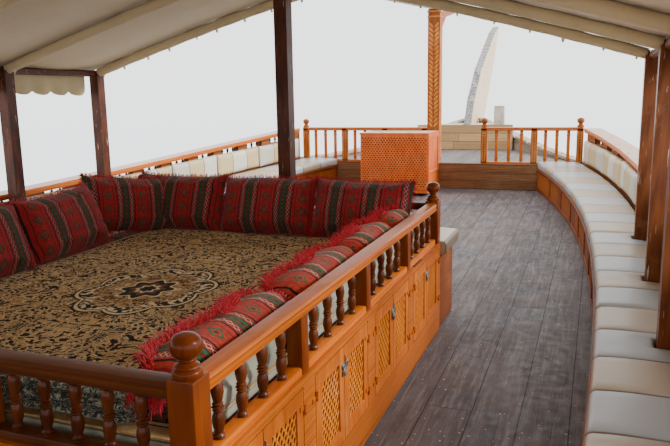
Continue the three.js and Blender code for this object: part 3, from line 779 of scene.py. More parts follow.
def fringeFinish(name, bright=1.0):
    material, shader, place = newFinish(name, 0.9, Sheen_Weight=0.3)
    tint = (bright, bright ** 2, bright ** 2)
    lit, deep = (tuple(v * k for v, k in zip(red, tint)) for red in ((0.55, 0.010, 0.020), (0.26, 0.004, 0.009)))
    plug(shader["Base Color"], mixed(spread(speckle(place, 160, 2), 0.35, 0.65), lit, deep))
    return material


carpetCentre = (0.12, -2.50)


def carpetFinish(name):
    # a mirrored leaf field round a scalloped medallion, with a striped border
    material, shader, place = newFinish(name, 1.0, Sheen_Weight=0.05, Specular_IOR_Level=0.1)
    x, y, _ = parts(put("Mapping", "Vector", Vector=place, Location=(-carpetCentre[0], -carpetCentre[1], 0)))
    mirrored = vectorOf(abs(x), abs(y))
    swirl = put("TexNoise", "Color", Vector=mirrored, Scale=5.0, Detail=1.0)
    bend = {0: swirl, 1: (0.22, 0.22, 0), 2: mirrored}
    bent = Signal(addNode("VectorMath", {"operation": "MULTIPLY_ADD"}, bend).outputs[0])
    ground, brown, dark, ivory = (0.54, 0.34, 0.14), (0.15, 0.056, 0.015), (0.014, 0.006, 0.003), (0.70, 0.53, 0.30)
    broad = speckle(mirrored, 3.2, 2, 0.5, 1.1)
    stem = inside(abs(speckle(mirrored, 9.0, 2, 0.5, 2.6) - 0.5), 0.013, 0.004)

    def leaves(stretch):
        spot = put("Mapping", "Vector", Vector=bent, Scale=stretch, Rotation=(0, 0, 0.6))
        return cells(spot, 1.0, 0.9) + speckle(mirrored, 74, 2, 0.6) * 0.62

    # leaves lie two ways, each way in its own parts of the field
    way = speckle(mirrored, 8.0, 1) > 0.5
    leafBody = leaves((30, 52, 1)) * way + leaves((52, 28, 1)) * (1.0 - way)
    leaf = inside(leafBody, 0.78, 0.03)
    petal = cells(mirrored, 5.5, 0.8) + speckle(mirrored, 30, 1, 0.5) * 0.16
    colour = banded(ground, broad, 0.05, (0.44, (0.44, 0.26, 0.095)))
    colour = mixed(leaf, banded(colour, leafBody, 0.03, (0.90, ivory)), brown)
    colour = mixed(stem, banded(colour, leafBody, 0.02, (0.70, dark)), dark)
    colour = banded(colour, petal, 0.008, (0.34, dark), (0.29, ground), (0.235, brown), (0.17, ivory), (0.14, brown))
    # the medallion, with a garland, a field of its own and a star
    angle = calc("ARCTAN2", y / 1.22, x)
    radius = calc("SQRT", x * x + (y / 1.22) ** 2.0)
    rim = radius / (0.27 + abs(calc("SINE", angle * 4.0)) * 0.045)
    garland = banded(ivory, leafBody, 0.03, (0.86, dark))
    field = mixed(stem, mixed(leaf, (0.38, 0.22, 0.085), (0.09, 0.034, 0.012)), ivory)
    colour = banded(colour, rim, 0.008, (1.10, dark), (1.06, ivory), (1.01, dark), (0.985, garland))
    colour = banded(colour, rim, 0.03, (0.80, field))
    star = radius / (0.13 + calc("SINE", angle * 8.0) * 0.02)
    colour = banded(colour, star, 0.015, (1.0, ivory), (0.9, dark), (0.62, brown), (0.42, ivory), (0.3, dark))
    # the border
    px, py, _ = parts(place)
    fromSide = calc("MINIMUM", px - (platform["port"] + 0.1), platform["starboard"] - 0.1 - px)
    fromEnd = calc("MINIMUM", py - (platform["aft"] + 0.1), platform["fore"] - 0.1 - py)
    edge = calc("MINIMUM", fromSide, fromEnd)
    border = banded(mixed(leaf, (0.20, 0.10, 0.045), dark), petal, 0.01, (0.25, ground))
    colour = banded(colour, edge, 0.002, (0.245, dark), (0.238, ivory), (0.228, dark), (0.222, border),
                    (0.085, dark), (0.078, ivory), (0.062, dark), (0.055, ground))
    colour = shaded(colour, spread(speckle(place, 120, 3), 0.25, 0.75, 0.72, 1.2))
    return finished(material, shader, colour, speckle(place, 260, 2) - leaf * 0.35, 0.5, 0.002)


def rugFinish(name):
    # dark green with a pale running figure
    material, shader, place = newFinish(name, 1.0, Sheen_Weight=0.2)
    line = abs(speckle(place, 26, 2, 0.5, 2.2) - 0.5)
    colour = mixed(inside(line, 0.035, 0.012), (0.03, 0.042, 0.026), (0.40, 0.40, 0.29))
    return finished(material, shader, colour, speckle(place, 240, 2), 0.5, 0.002)


def metalFinish(name, colour, rough):
    material, shader, place = newFinish(name, rough, Metallic=1.0)
    tarnish = wear(place, 30.0, 0.45, 0.2)
    plug(shader["Base Color"], mixed(tarnish["Mask"], colour, dimmed(colour, 0.45)))
    plug(shader["Roughness"], spread(tarnish["Dust"], 0.3, 0.7, rough, rough + 0.25))
    return material


def plainFinish(name, colour, rough=0.7):
    material, shader, place = newFinish(name, rough)
    soil = wear(place, 6.0, 0.4, 0.3)
    return finished(material, shader, mixed(soil["Mask"] * 0.4, colour, dimmed(colour, 0.6)), soil["Dust"], 0.2, 0.0006)


def reopened(material):
    # a finish that gets more colours laid over it
    work["tree"] = material.node_tree
    place = placeNow()
    return place, *parts(place)


def overBase(material, mask, colour):
    # lays a colour over a finish where the mask is 1
    socket = material.node_tree.nodes["Principled BSDF"].inputs["Base Color"]
    plug(socket, mixed(mask, Signal(socket.links[0].from_socket), colour))


def plankWall(place, across, along, width, light, dark, way):
    rows = boarded(across, along, width, 0.006, 2.4)
    grain = grained(stretched(place, way, rows["Shift"]), light, dark, 0.9)
    return mixed(rows["Seam"], shaded(grain["Color"], spread(rows["Tone"], 0, 1, 0.82, 1.12)), (0.07, 0.04, 0.022))


def dressBow(material):
    # over the foredeck: tan boards on the raised deck's wall, a bleached top and bleached timberheads
    place, x, _, z = reopened(material)
    overBase(material, z > 1.826, plankWall(place, z - 1.818, x, 0.144, (0.56, 0.36, 0.17), (0.36, 0.21, 0.095), "x"))
    pale = mixed(wear(place, 5.0, 0.45, 0.2)["Mask"], (0.60, 0.54, 0.45), (0.40, 0.33, 0.26))
    overBase(material, calc("MAXIMUM", upFacing() * (z > 2.2), z > 2.2505), pale)


def dressStem(material):
    # the head of the stem: pale sides streaked along it, a grey edge aft and on top
    place, _, y, z = reopened(material)
    spot = stretched(put("Mapping", "Vector", Vector=place, Rotation=(-0.6, 0, 0)), "y")
    streak = grained(spot, (0.66, 0.56, 0.40), (0.50, 0.31, 0.15), 0.9)
    grey = grained(spot, (0.36, 0.36, 0.34), (0.14, 0.13, 0.12), 1.1)
    edge = abs(facing()[0]) < 0.5
    overBase(material, (z > 1.9) * (y > 6.5), mixed(edge, streak["Color"], grey["Color"]))


def dressInside(material, light, dark):
    # the side of a bulwark that looks in over the deck
    place, x, y, z = reopened(material)
    inward = calc("SIGN", x) * facing()[0] < 0.0
    overBase(material, inward, plankWall(place, z, y, 0.15, light, dark, "y"))
    return material


mainDeckFinish = deckFinish("mainDeckPlanks", (0.118, 0.106, 0.115), (0.044, 0.036, 0.038), 0.2375)
foredeckFinish = deckFinish("foredeckPlanks", (0.17, 0.16, 0.155), (0.08, 0.072, 0.068), 0.2)
hullBoards = hullFinish("hullBoards")
bulwarkFinish = dressInside(hullFinish("bulwarkBoards", antifouled=False), (0.42, 0.15, 0.045), (0.2, 0.06, 0.02))
bowFinish = dressInside(hullFinish("bowBoards", antifouled=False), (0.32, 0.27, 0.20), (0.17, 0.135, 0.10))
stemFinish = hullFinish("stemAndKeel")
dressStem(stemFinish)
dressBow(foredeckFinish)
whiteWorn = paintFinish("whiteWornPaint", 0.55)
ridgePaint = paintFinish("ridgeWhitePaint", 0.35)
# the pale tops set here are partly wear and partly painted highlight
capFinish = woodFinish("capRailTeak", "teakRail", topWearAndLight=0.85)
benchFinish = woodFinish("benchFronts", "benchWood")
platformFinish = woodFinish("platformPanels", "orangeWood", boards=0.3)
doorFinish = woodFinish("doorFrames", "orangeWood", "z")
railFinish = woodFinish("railTeak", "teakRail")
# the cross rails' wood, darkened as painted shade
crossRailDarkForShade = woodFinish("crossRailTeak", "shadedRail", "x")
crossEdgeFinish = woodFinish("edgeRailWood", "orangeWood", "x", topWearAndLight=0.8)
darkTurned = woodFinish("darkBalusters", "darkTurned", "z")
darkPosts = woodFinish("awningPosts", "darkPost", "z", flakes=0.34)
brightPosts = woodFinish("starboardPosts", "brightPost", "z", flakes=0.33)
# newel wood darkened as painted shade
newelFinishDarkForShade = woodFinish("brownerPosts", "newelWoodDarkForShade", "z")
breakRailFinish = woodFinish("breakRailWood", "orangeWood", "z", topWearAndLight=0.7)
cabinetFinish = woodFinish("cabinetBoards", "perforated", "z", topWearAndLight=0.9)
carvedFinish = woodFinish("carvedPostWood", "carvedGround", "z")
carvingFinish = woodFinish("carvedLeafWood", "carvedLeaf", "z")
agedFinish = woodFinish("agedBoards", "agedBoard", "x", boards=0.12, seam=0.005)
latticeFinish = woodFinish("latticeStrips", "latticeWood", "z")
benchLatticeFinish = woodFinish("benchLatticeStrips", "benchLattice", "z")
canvasCloth = canvasFinish("awningCanvas", (0.62, 0.50, 0.285))
# cream seat vinyl, partly darkened as painted shade for seats lying under the awning
creamVinylDarkForShade = vinylFinish("creamVinylDarkForShade", (0.385, 0.40, 0.405), (0.40, 0.315, 0.225))
backVinyl = vinylFinish("backVinyl", (0.58, 0.56, 0.46), (0.58, 0.44, 0.22))
redWeave = weaveFinish("redWovenCloth")
bolsterWeave = weaveFinish("bolsterCloth", bright=True)
redFringe = fringeFinish("redFringe")
bolsterThread = fringeFinish("bolsterThread", 1.7)
greenRug = rugFinish("greenRug")
carpetCloth = carpetFinish("leafCarpet")
bronze = metalFinish("propellerBronze", (0.5, 0.3, 0.1), 0.3)
steel = metalFinish("hingeSteel", (0.42, 0.41, 0.39), 0.35)
cordWhite = plainFinish("whiteTies", (0.68, 0.66, 0.6))
foamCover = plainFinish("foamCover", (0.34, 0.34, 0.26), 0.85)
# cream bedding cloth, partly darkened as painted shade for the roll lying in shade behind the balusters
creamClothDarkForShade = plainFinish("creamClothDarkForShade", (0.36, 0.35, 0.26), 0.9)
# a near-black finish for painted shade sheets, set behind lattices and holes where the insides lie in shade
paintedShadeSheet = plainFinish("paintedShadeSheet", (0.022, 0.008, 0.003), 0.95)


def bothSides(name):
    return [f"{name}_starboard", f"{name}_port"]


for names, finish in (
    (["hull_planking", "rudder"], hullBoards),
    (["keel_stem_and_sternpost"], stemFinish),
    (bothSides("bulwark_main") + ["transom_bulwark"], bulwarkFinish),
    (bothSides("bulwark_bow"), bowFinish),
    (bothSides("cap_rail"), capFinish),
    (bothSides("bow_cap"), whiteWorn),
    (bothSides("wale") + ["awning_frame_port", "centre_post"], darkPosts),
    (["main_deck"], mainDeckFinish),
    (["foredeck"], foredeckFinish),
    (["propeller"], bronze),
    (bothSides("bench") + ["stern_seat", "fore_seat"], benchFinish),
    (["awning_frame_starboard"], brightPosts),
    (["ridge_beam"], ridgePaint),
    (["majlis_platform"], platformFinish),
    ([f"door_{i}_{w}" for i in (1, 2, 3, 4) for w in ("aft", "fore")], doorFinish),
    (bothSides("majlis_rail") + ["engine_hatch", "helm_pedestal"], railFinish),
    (["majlis_rail_aft", "majlis_rail_fore"], crossRailDarkForShade),
    (bothSides("break_rail"), breakRailFinish),
    (["perforated_cabinet"], cabinetFinish),
    (["carved_post"], carvedFinish),
    (["ship_wheel"], newelFinishDarkForShade),
):
    paintCad(names, finish)
print("finishes on the frame")

# Seat pads along both sides: long cushions sewn from crosswise strips
seat = {"first": -8.895, "last": 4.4475, "gap": 0.002, "strip": 0.36, "perCushion": 5, "round": 0.034, "groove": 0.008,
        "overhang": 0.015, "ripple": 0.0022, "wallGap": 0.092, "postGap": 0.058}


def padSection(inner, outer, low, high, crown):
    # the outline of a pad across the bench, from the lower front corner round to the lower back corner
    r = seat["round"]
    front = [(inner + r + r * math.cos(math.pi * t), high - r + r * math.sin(math.pi * t))
             for t in (1, 0.85, 0.7, 0.55, 0.5)]
    top = [(inner + (outer - inner) * t, high + crown * math.sin(math.pi * t)) for t in (0.2, 0.35, 0.5, 0.65, 0.8)]
    back = [(outer - 0.02, high), (outer - 0.006, high - 0.006), (outer, high - 0.02), (outer, (low + high) / 2),
            (outer - 0.004, low)]
    return [(inner + 0.006, low), (inner - 0.002, low + 0.018), (inner, (low + high) / 2), *front, *top, *back]


def byPost(y):
    # how near a post's foot stands: 1 beside it, 0 clear of it
    return min(max((0.078 - min(abs(y - post) for post in postYs)) / 0.014, 0), 1)


def padRows(start, end):
    # the rows of a pad, each with its place along and the strip it is in: close together at the seams and at the posts
    count = max(round((end - start) / seat["strip"]), 1)
    length = (end - start) / count
    shares = (0, 0.025, 0.07, 0.2, 0.4, 0.6, 0.8, 0.93, 0.975)
    places = [(start + (strip + share) * length, strip + share) for strip in range(count) for share in shares]
    for post in postYs:
        for away in (-0.08, -0.064, 0.064, 0.08):
            if start + 0.02 < post + away < end - 0.02:
                places.append((post + away, (post + away - start) / length))
    return sorted(places + [(end, float(count))]), length


def seatCushion(side, name, start, end, number, firstStrip):
    rows, length = padRows(start, end)
    points, marks = [], []
    for y, strip in rows:
        share = strip - math.floor(strip)
        dip = seat["groove"] * math.exp(-((min(share, 1 - share) * length / 0.011) ** 2))
        tuck = max(0.0, 1 - min(y - start, end - y) / 0.03)
        low, high = benchTop(y) + 0.0015, benchTop(y) + bench["pad"] - dip - 0.022 * tuck * tuck
        outer = innerWall(y) - seat["wallGap"]
        outer -= (outer - (postX(y) - seat["postGap"])) * byPost(y)
        inner = benchFront(y) - seat["overhang"] + dip * 0.5 + 0.012 * tuck
        row = []
        for x, z in padSection(inner, outer - 0.004 * tuck, low, high, 0.006):
            lump = ripple(x * side * 6, y * 6, 3.1 + number) * seat["ripple"]
            row.append(lean(side * x, y, z + (lump if z > low + 0.03 else 0)))
        points.append(row)
        marks += [strip + firstStrip] * len(row)
    piece = skin(name, points, closed=True, ends=True)
    layer = piece.data.uv_layers.new(name="strips")
    for corner in piece.data.loops:
        layer.data[corner.index].uv = (marks[corner.vertex_index], 0)
    dress(smooth(outward(piece), 50), creamVinylDarkForShade)
    return piece


def makeSeatCushions():
    count = round((seat["last"] - seat["first"]) / (seat["strip"] * seat["perCushion"]))
    edges = between(seat["first"], seat["last"], count)
    for side, label in sides:
        for i, (start, end) in enumerate(zip(edges, edges[1:])):
            piece = seatCushion(side, f"seatCushion{label}{i + 1}", start + seat["gap"], end - seat["gap"], i + 1,
                                i * seat["perCushion"])
            if i == 0:
                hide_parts(f"seat_cushions_{label.lower()}")


makeSeatCushions()
print("seat cushions sewn")

# Back cushions, one shape made once and set along both sides
backPad = {"first": -8.6, "last": 4.35, "width": 0.855, "height": 0.292, "depth": 0.076, "pitch": 0.868, "stripes": 3,
           "voxel": 0.019, "swell": 0.009, "wallGap": 0.0475, "lift": 0.008, "lean": 0.012}


def cushionBlank(size, cuts, pinch, waist, tuft=0.0):
    # a stitched bag: thick in the middle, thin at the seam, sides drawn in between the corners
    def rule(co):
        u, v, w = co.x, co.z, co.y
        middle = max(0.0, (1 - abs(u) ** 3.2) * (1 - abs(v) ** 3.2)) ** 0.55
        half = size["depth"] / 2 * (pinch + (1 - pinch) * middle)
        if tuft:
            half *= 1 - tuft * (math.exp(-(((v - 0.36) / 0.07) ** 2)) + math.exp(-(((v + 0.36) / 0.07) ** 2)))
        x = u * size["width"] / 2 * (1 - waist * (1 - v * v))
        z = v * size["height"] / 2 * (1 - waist * (1 - u * u))
        return Vector((x, w * half, z))

    return reshape(finelyCut(2, cuts), rule)


def makeBackCushions():
    unit = cushionBlank(backPad, 17, 0.55, 0.010)
    puffUp(unit, backPad["voxel"], 3.0, backPad["swell"])
    setUv(unit, "strips", lambda p: ((p.x / backPad["width"] + 0.5) * (backPad["stripes"] - 0.02) + 0.01, p.z))
    smooth(unit, 60)
    for side, label in sides:
        for i in range(int((backPad["last"] - backPad["first"]) / backPad["pitch"])):
            middle = backPad["last"] - (i + 0.5) * backPad["pitch"]
            piece = named(copyOf(unit), f"backCushion{label}{i + 1}")
            shake = random.Random(i * 7 + (3 if side > 0 else 5))
            tilt, dip, swing = shake.uniform(-0.02, 0.02), shake.uniform(-0.004, 0.006), shake.uniform(-0.012, 0.012)

            def rule(p):
                y = middle + p.x + p.z * tilt
                up = p.z + dip + p.x * swing
                z = benchTop(y) + bench["pad"] + backPad["lift"] + backPad["height"] / 2 + up
                return lean(side * (innerWall(y) - backPad["wallGap"] + p.y + backPad["lean"] * up), y, z)

            outward(reshape(piece, rule))
            shiftUv(piece, "strips", 60 + i % 2)
            dress(piece, backVinyl)
            if i == 0:
                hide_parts(f"back_cushions_{label.lower()}")
    bpy.data.objects.remove(unit)


makeBackCushions()
print("back cushions set")

# Loose red cushions on the platform
redCushion = {"width": 0.70, "height": 0.40, "depth": 0.17, "pinch": 0.12, "waist": 0.02, "tuft": 0.10, "voxel": 0.013,
              "swell": 0.022, "fringe": 0.04, "thread": 0.0032, "threadGap": 0.0030, "cornerThreads": 46}
# name, middle x, y, height over the mattress, width share, lean back, turn, roll, stripe shift
redCushionPlaces = [
    ("Fore1", -0.60, -1.085, 0.190, 1.01, 20, 0, 0.5, 0.02), ("Fore2", 0.103, -1.080, 0.186, 0.99, 20, 0, -0.5, 0.09),
    ("Fore3", 0.78, -1.085, 0.184, 0.95, 22, 0, 0.8, 0.15), ("Corner", -0.86, -1.33, 0.200, 0.92, 17, 62, 7, 0.05),
    ("Port1", -0.865, -1.98, 0.188, 0.92, 22, 90, -2.5, 0.12), ("Port2", -0.865, -2.64, 0.186, 0.98, 22, 90, 1.5, 0.04),
    ("Port3", -0.87, -3.31, 0.184, 0.95, 21, 90, -1, 0.17),
]


def onMat(y, up=0.0):
    return platform["mat"] + seatRise(y) + up


def strandRow(places, length, width, seed, droop):
    # short threads along a seam: places of (point, outward way, up way)
    shake = random.Random(seed)
    points, faces = [], []
    for point, out, up in places:
        side = out.cross(up).normalized()
        way = (out + up * shake.uniform(-0.7, 0.7) + side * shake.uniform(-0.5, 0.5)).normalized()
        reach = length * shake.uniform(0.6, 1.15)
        start = point - out * 0.004
        middle = start + way * reach * 0.55
        end = start + way * reach + Vector((0, 0, -reach * droop * shake.uniform(0.3, 1.0)))
        half, base = side * width / 2, len(points)
        points += [start - half, start + half, start + up * width]
        points += [middle - half * 0.9, middle + half * 0.9, middle + up * width * 0.9, end]
        corners = ((0, 1, 4, 3), (1, 2, 5, 4), (2, 0, 3, 5), (3, 4, 6), (4, 5, 6), (5, 3, 6), (2, 1, 0))
        faces += [tuple(base + k for k in corner) for corner in corners]
    return points, faces


def seamPlaces(piece, width, height, gap):
    # points round a cushion's real edge in its own frame, with the way out
    spots = [v.co for v in piece.data.vertices]
    front = Vector((0, 1, 0))
    places = []
    for along, across, run in ((0, 2, width), (2, 0, height)):
        count = int(run / gap)
        edges = [[0.0, 0.0] for _ in range(41)]
        for p in spots:
            near = edges[min(max(round((p[along] / run + 0.5) * 40), 0), 40)]
            near[0], near[1] = min(near[0], p[across]), max(near[1], p[across])
        for i in range(count):
            t = (i + 0.5) / count
            k = min(int(t * 40), 39)
            for end, sign in ((0, -1), (1, 1)):
                reach = edges[k][end] + (edges[k + 1][end] - edges[k][end]) * (t * 40 - k)
                place, out = Vector((0, 0, 0)), Vector((0, 0, 0))
                place[along], place[across], out[across] = (t - 0.5) * run, reach, sign
                places.append((place, out, front))
    # a tuft at each corner
    for sx, sz in ((1, 1), (1, -1), (-1, 1), (-1, -1)):
        tip = max(spots, key=lambda p: sx * p.x + sz * p.z)
        for k in range(redCushion["cornerThreads"]):
            wide, deep, high = 0.4 + 0.6 * (k * 7 % 11) / 11, k * 5 % 9 / 4.5 - 1, 0.4 + 0.6 * (k * 3 % 7) / 7
            out = Vector((sx * wide, 0.5 * deep, sz * high)).normalized()
            places.append((tip + Vector((-sx * 0.006, 0.012 * deep, -sz * 0.006)), out * 1.5, front))
    return places


def makeRedCushions():
    size = redCushion
    unit = cushionBlank(size, 15, size["pinch"], size["waist"], size["tuft"])
    puffUp(unit, size["voxel"], 4.0, size["swell"])
    seam = seamPlaces(unit, size["width"], size["height"], size["threadGap"])
    threads = strandRow(seam, size["fringe"], size["thread"], 11, 0.25)
    setUv(unit, "cloth", lambda p: (p.x + 0.35, p.z))
    smooth(unit, 80)
    for label, x, y, up, share, back, turn, roll, shift in redCushionPlaces:
        piece = named(copyOf(unit), f"redCushion{label}")
        fringe = fromPoints(f"cushionFringe{label}", *threads)
        place = Matrix.Translation((x, y, onMat(y, up))) @ Matrix.Rotation(math.radians(turn), 4, "Z")
        place = place @ Matrix.Rotation(math.radians(-back), 4, "X") @ Matrix.Rotation(math.radians(roll), 4, "Y")
        shiftUv(piece, "cloth", shift)
        wobble = Vector((x * 3, y * 5, 0.3))
        floorZ = onMat(y, 0.004)

        def rule(p):
            q = Vector((p.x * share, p.y, p.z))
            q.y += 0.010 * noise.noise(q * 7 + wobble)
            q.z += 0.012 * noise.noise(q * 3.1 + wobble * 2)
            world = place @ q
            if world.z < floorZ:
                world.z = floorZ + (world.z - floorZ) * 0.08
            return world

        dress(reshape(piece, rule), redWeave)
        dress(reshape(fringe, rule), redFringe)
        if label == "Fore1":
            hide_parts("cushions_fore")
        if label == "Port1":
            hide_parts("cushions_port")
    bpy.data.objects.remove(unit)


makeRedCushions()
print("red cushions placed")

# Low bolsters along the starboard rail, with a long fringe on the inner seam, over a rumpled cream bedding roll
bolster = {"x": 1.02, "width": 0.265, "height": 0.20, "lift": 0.022, "tilt": 14, "turns": 24, "rings": 30,
           "fringe": 0.072, "thread": 0.0046, "threadGap": 0.0018, "endThreads": 260, "rail": 1.158}
bolsterRuns = ((-3.725, -2.90), (-2.885, -2.12), (-2.105, -1.47), (-1.455, -1.12))
bedding = {"x": 1.122, "aft": -3.745, "fore": -0.945, "wide": 0.046, "tall": 0.062, "rings": 90, "turns": 16,
           "rail": 1.176, "floor": 0.648}


def bolsterPoint(y, a, share):
    # a point on the oval section at angle a, leaning on the rail; share shrinks the section
    tilt = math.radians(bolster["tilt"])
    across = bolster["width"] / 2 * math.cos(a) * share
    rise = bolster["height"] / 2 * math.sin(a) * share * (1 + 0.1 * math.cos(2 * a) ** 3)
    x = bolster["x"] + across * math.cos(tilt) - rise * math.sin(tilt)
    z = bolster["height"] / 2 + bolster["lift"] + across * math.sin(tilt) + rise * math.cos(tilt)
    return Vector((min(x, bolster["rail"]), y, onMat(y, 0.004) + max(z, 0.001 * math.sin(a))))


def taper(t, power, least):
    # the share of the section left at t along a roll, which closes towards its ends
    return max((1 - abs(2 * t - 1) ** power) ** 0.5, least)


def makeBolster(i, aft, fore):
    def along(t):
        return aft + (fore - aft) * (0.012 + 0.976 * t)

    rows = []
    for t in between(0, 1, bolster["rings"]):
        y = along(t)
        row = []
        for a in around(bolster["turns"]):
            gathered = 1 + 0.05 * math.sin(9 * a) * abs(2 * t - 1) ** 4
            point = bolsterPoint(y, a, taper(t, 6, 0.2) * gathered)
            lump = ripple(point.x * 8, y * 8, point.z * 8 + i) * 0.009
            row.append(point + Vector((lump if point.x < 1.14 else 0, 0, lump if point.z > onMat(y, 0.02) else 0)))
        rows.append(row)
    piece = tube(f"bolster{i + 1}", rows)

    def wrapped(p):
        turn = math.atan2(p.z - onMat(p.y) - bolster["height"] / 2, p.x - bolster["x"])
        return p.y + 0.1 * i, turn * bolster["width"] / 2

    setUv(piece, "cloth", wrapped)
    dress(smooth(piece, 80), bolsterWeave)
    if i == 0:
        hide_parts("bolsters_starboard")
    shake = random.Random(40 + i)
    places = []
    count = int((fore - aft) / bolster["threadGap"])
    for k in range(count):
        t = (k + 0.5) / count
        a = math.radians(108 + 18 * math.sin(t * 9 + i) + shake.uniform(-16, 16))
        out = Vector((math.cos(a), shake.uniform(-0.5, 0.5), math.sin(a) * 0.8)).normalized()
        places.append((bolsterPoint(along(t), a, taper(t, 6, 0.25) * 0.97), out, Vector((0, 1, 0))))
    for end, way in ((aft, -1), (fore, 1)):
        for a in around(bolster["endThreads"]):
            place = bolsterPoint(end - way * 0.012, a, shake.uniform(0.1, 0.3))
            places.append((place, Vector((0.6 * math.cos(a), way, 0.6 * math.sin(a))).normalized(), Vector((0, 0, 1))))
    threads = strandRow(places, bolster["fringe"], bolster["thread"], 60 + i, 0.5)
    dress(fromPoints(f"bolsterFringe{i + 1}", *threads), bolsterThread)


def makeBeddingRoll():
    # seen between the balusters, under the bolsters
    rows = []
    for t in between(0, 1, bedding["rings"]):
        y = bedding["aft"] + (bedding["fore"] - bedding["aft"]) * t
        thick = taper(t, 24, 0.3)
        height = bedding["tall"] + 0.022 * ripple(y * 2.2, 3.1, 0)
        row = []
        for a in around(bedding["turns"]):
            fold = ripple(y * 5, math.cos(a) * 1.2, math.sin(a) * 1.2)
            x = bedding["x"] + bedding["wide"] * (1 + 0.3 * fold) * thick * math.cos(a)
            z = height * (1 + 0.18 * fold) * thick * (1 + math.sin(a))
            row.append(Vector((min(x, bedding["rail"]), y, bedding["floor"] + seatRise(y) + max(z, 0.0))))
        rows.append(row)
    roll = tube("beddingRoll", rows)
    dress(smooth(roll, 80), creamClothDarkForShade)


for i, (aft, fore) in enumerate(bolsterRuns):
    makeBolster(i, aft, fore)
makeBeddingRoll()
print("bolsters and fringes laid")

# Mattress and carpet on the platform
well = {"port": -1.007, "starboard": 1.157, "aft": -3.767, "fore": -0.933, "foamMiddle": 0.633, "foam": 0.040,
        "carpet": 0.6605, "carpetThick": 0.007, "across": 72, "along": 94}


def makeMattress():
    middle, width = (well["port"] + well["starboard"]) / 2, well["starboard"] - well["port"] - 0.012
    span = (well["fore"] - well["aft"]) / 3
    for i in range(3):
        def rule(p):
            plump = 1 - 0.32 * max(max(abs(p.x), abs(p.y)) * 2 - 0.9, 0) / 0.1
            y = well["aft"] + (i + 0.5) * span + p.y * (span - 0.006)
            return Vector((middle + p.x * width, y, well["foamMiddle"] + p.z * well["foam"] * plump + seatRise(y)))

        pad = named(reshape(finelyCut(1, 9), rule), f"foamMattress{i + 1}")
        dress(smooth(pad, 60), foamCover)


def makeCarpet():
    # laid over the mattress, with low ripples and its rim just over the edge
    rows = []
    for y in between(well["aft"] + 0.004, well["fore"] - 0.004, well["along"]):
        row = []
        for x in between(well["port"] + 0.004, well["starboard"] - 0.004, well["across"]):
            low = ripple(x * 2.3, y * 1.7, 0.4) * 0.006 + ripple(x * 6, y * 1.4, 2.4) * 0.003
            row.append(Vector((x, y, well["carpet"] + max(low, -0.002) + seatRise(y))))
        rows.append(row)
    carpet = thicken(outward(skin("leafCarpetSheet", rows)), well["carpetThick"])
    dress(smooth(carpet, 60), carpetCloth)
    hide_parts("majlis_mattress")


makeMattress()
makeCarpet()
print("mattress and carpet laid")


# Pads of the seat forward of the platform and of the stern seat
def slabPad(name, x, y, z, rise, stripes, node, notch=None):
    pad = setUv(finelyCut(2, 15), "strips", lambda p: ((p.x + 1) / 2 * stripes, p.y))
    middle, half = [(a + b) / 2 for a, b in (x, y, z)], [(b - a) / 2 for a, b in (x, y, z)]

    def rule(p):
        rim = max(abs(p.x) ** 14, abs(p.y) ** 8)
        strip = (p.x + 1) / 2 * stripes
        seam = abs(strip - round(strip)) * (x[1] - x[0]) / stripes
        dip = 0.006 * math.exp(-((seam / 0.02) ** 2)) if p.z > 0.5 else 0
        px = middle[0] + p.x * half[0] * (1 - 0.012 * abs(p.z) ** 3)
        py = middle[1] + p.y * half[1] * (1 - 0.03 * abs(p.z) ** 4)
        pz = middle[2] + p.z * half[2] * (1 - 0.25 * rim) + 0.004 * ripple(px * 5, py * 5, 1)
        return lean(px, py, pz - dip + rise(py))

    reshape(pad, rule)
    if notch:
        cutter = block(*notch)
        changed(pad, "BOOLEAN", operation="DIFFERENCE", object=cutter, solver="EXACT")
        bpy.data.objects.remove(cutter)
    dress(smooth(named(pad, name), 50), creamVinylDarkForShade)
    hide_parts(node)


postNotch = ((-0.055, 0.055), (-0.585, -0.475), (1.0, 2.4))
slabPad("foreSeatPad", (-1.095, 1.29), (-0.835, -0.392), (0.502, 0.63), seatRise, 8, "fore_seat_cushion",
        notch=postNotch)
slabPad("sternSeatPad", (-1.355, 1.355), (-9.395, -8.925), (0.332, 0.42), deckZ, 10, "stern_cushion")
print("seat pads done")

# Awning: one sheet over the rafters, sagging a little between them, sewn to a scalloped valance
cloth = {"sag": 0.03, "thick": 0.0022, "acrossSteps": 44, "alongSteps": 8, "scallop": 0.23, "drop": 0.185,
         "deeper": 0.045, "valanceThick": 0.002, "valanceSteps": 320, "sleeve": 0.0385}


def awningRun():
    # places along the awning, each with its share of the way from one rafter to the next
    ends = [postYs[0] + 0.03, *postYs[1:-1], postYs[-1] - 0.05]
    steps = between(0, 1, cloth["alongSteps"])[:-1]
    return [(a + (b - a) * t, t) for a, b in zip(ends, ends[1:]) for t in steps] + [(ends[-1], 0.0)]


def areaOf(sheet):
    return sum(face.area for face in sheet.data.polygons)


def makeCanvas():
    rows = []
    for y, t in awningRun():
        half = postX(y) + 0.08
        row = []
        for x in between(-half, half, cloth["acrossSteps"]):
            flat = max(abs(x), awning["flat"] * postX(y))
            free = min(max((abs(x) - 0.12) / 0.5, 0), 1)
            sag = cloth["sag"] * math.sin(math.pi * t) ** 2 * free
            pucker = 0.004 * math.sin(x * 38 + 3 * math.sin(y * 2)) * math.exp(-((min(t, 1 - t) / 0.1) ** 2)) * free
            row.append(Vector((x, y, awningZ(flat, y) + 0.004 - sag + pucker)))
        rows.append(row)
    sheet = outward(skin("awningSheet", rows))
    area = areaOf(sheet)
    thicken(sheet, cloth["thick"], 0)
    dress(smooth(sheet, 60), canvasCloth)
    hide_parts("awning_canvas_starboard", "awning_canvas_port")
    return sheet, area


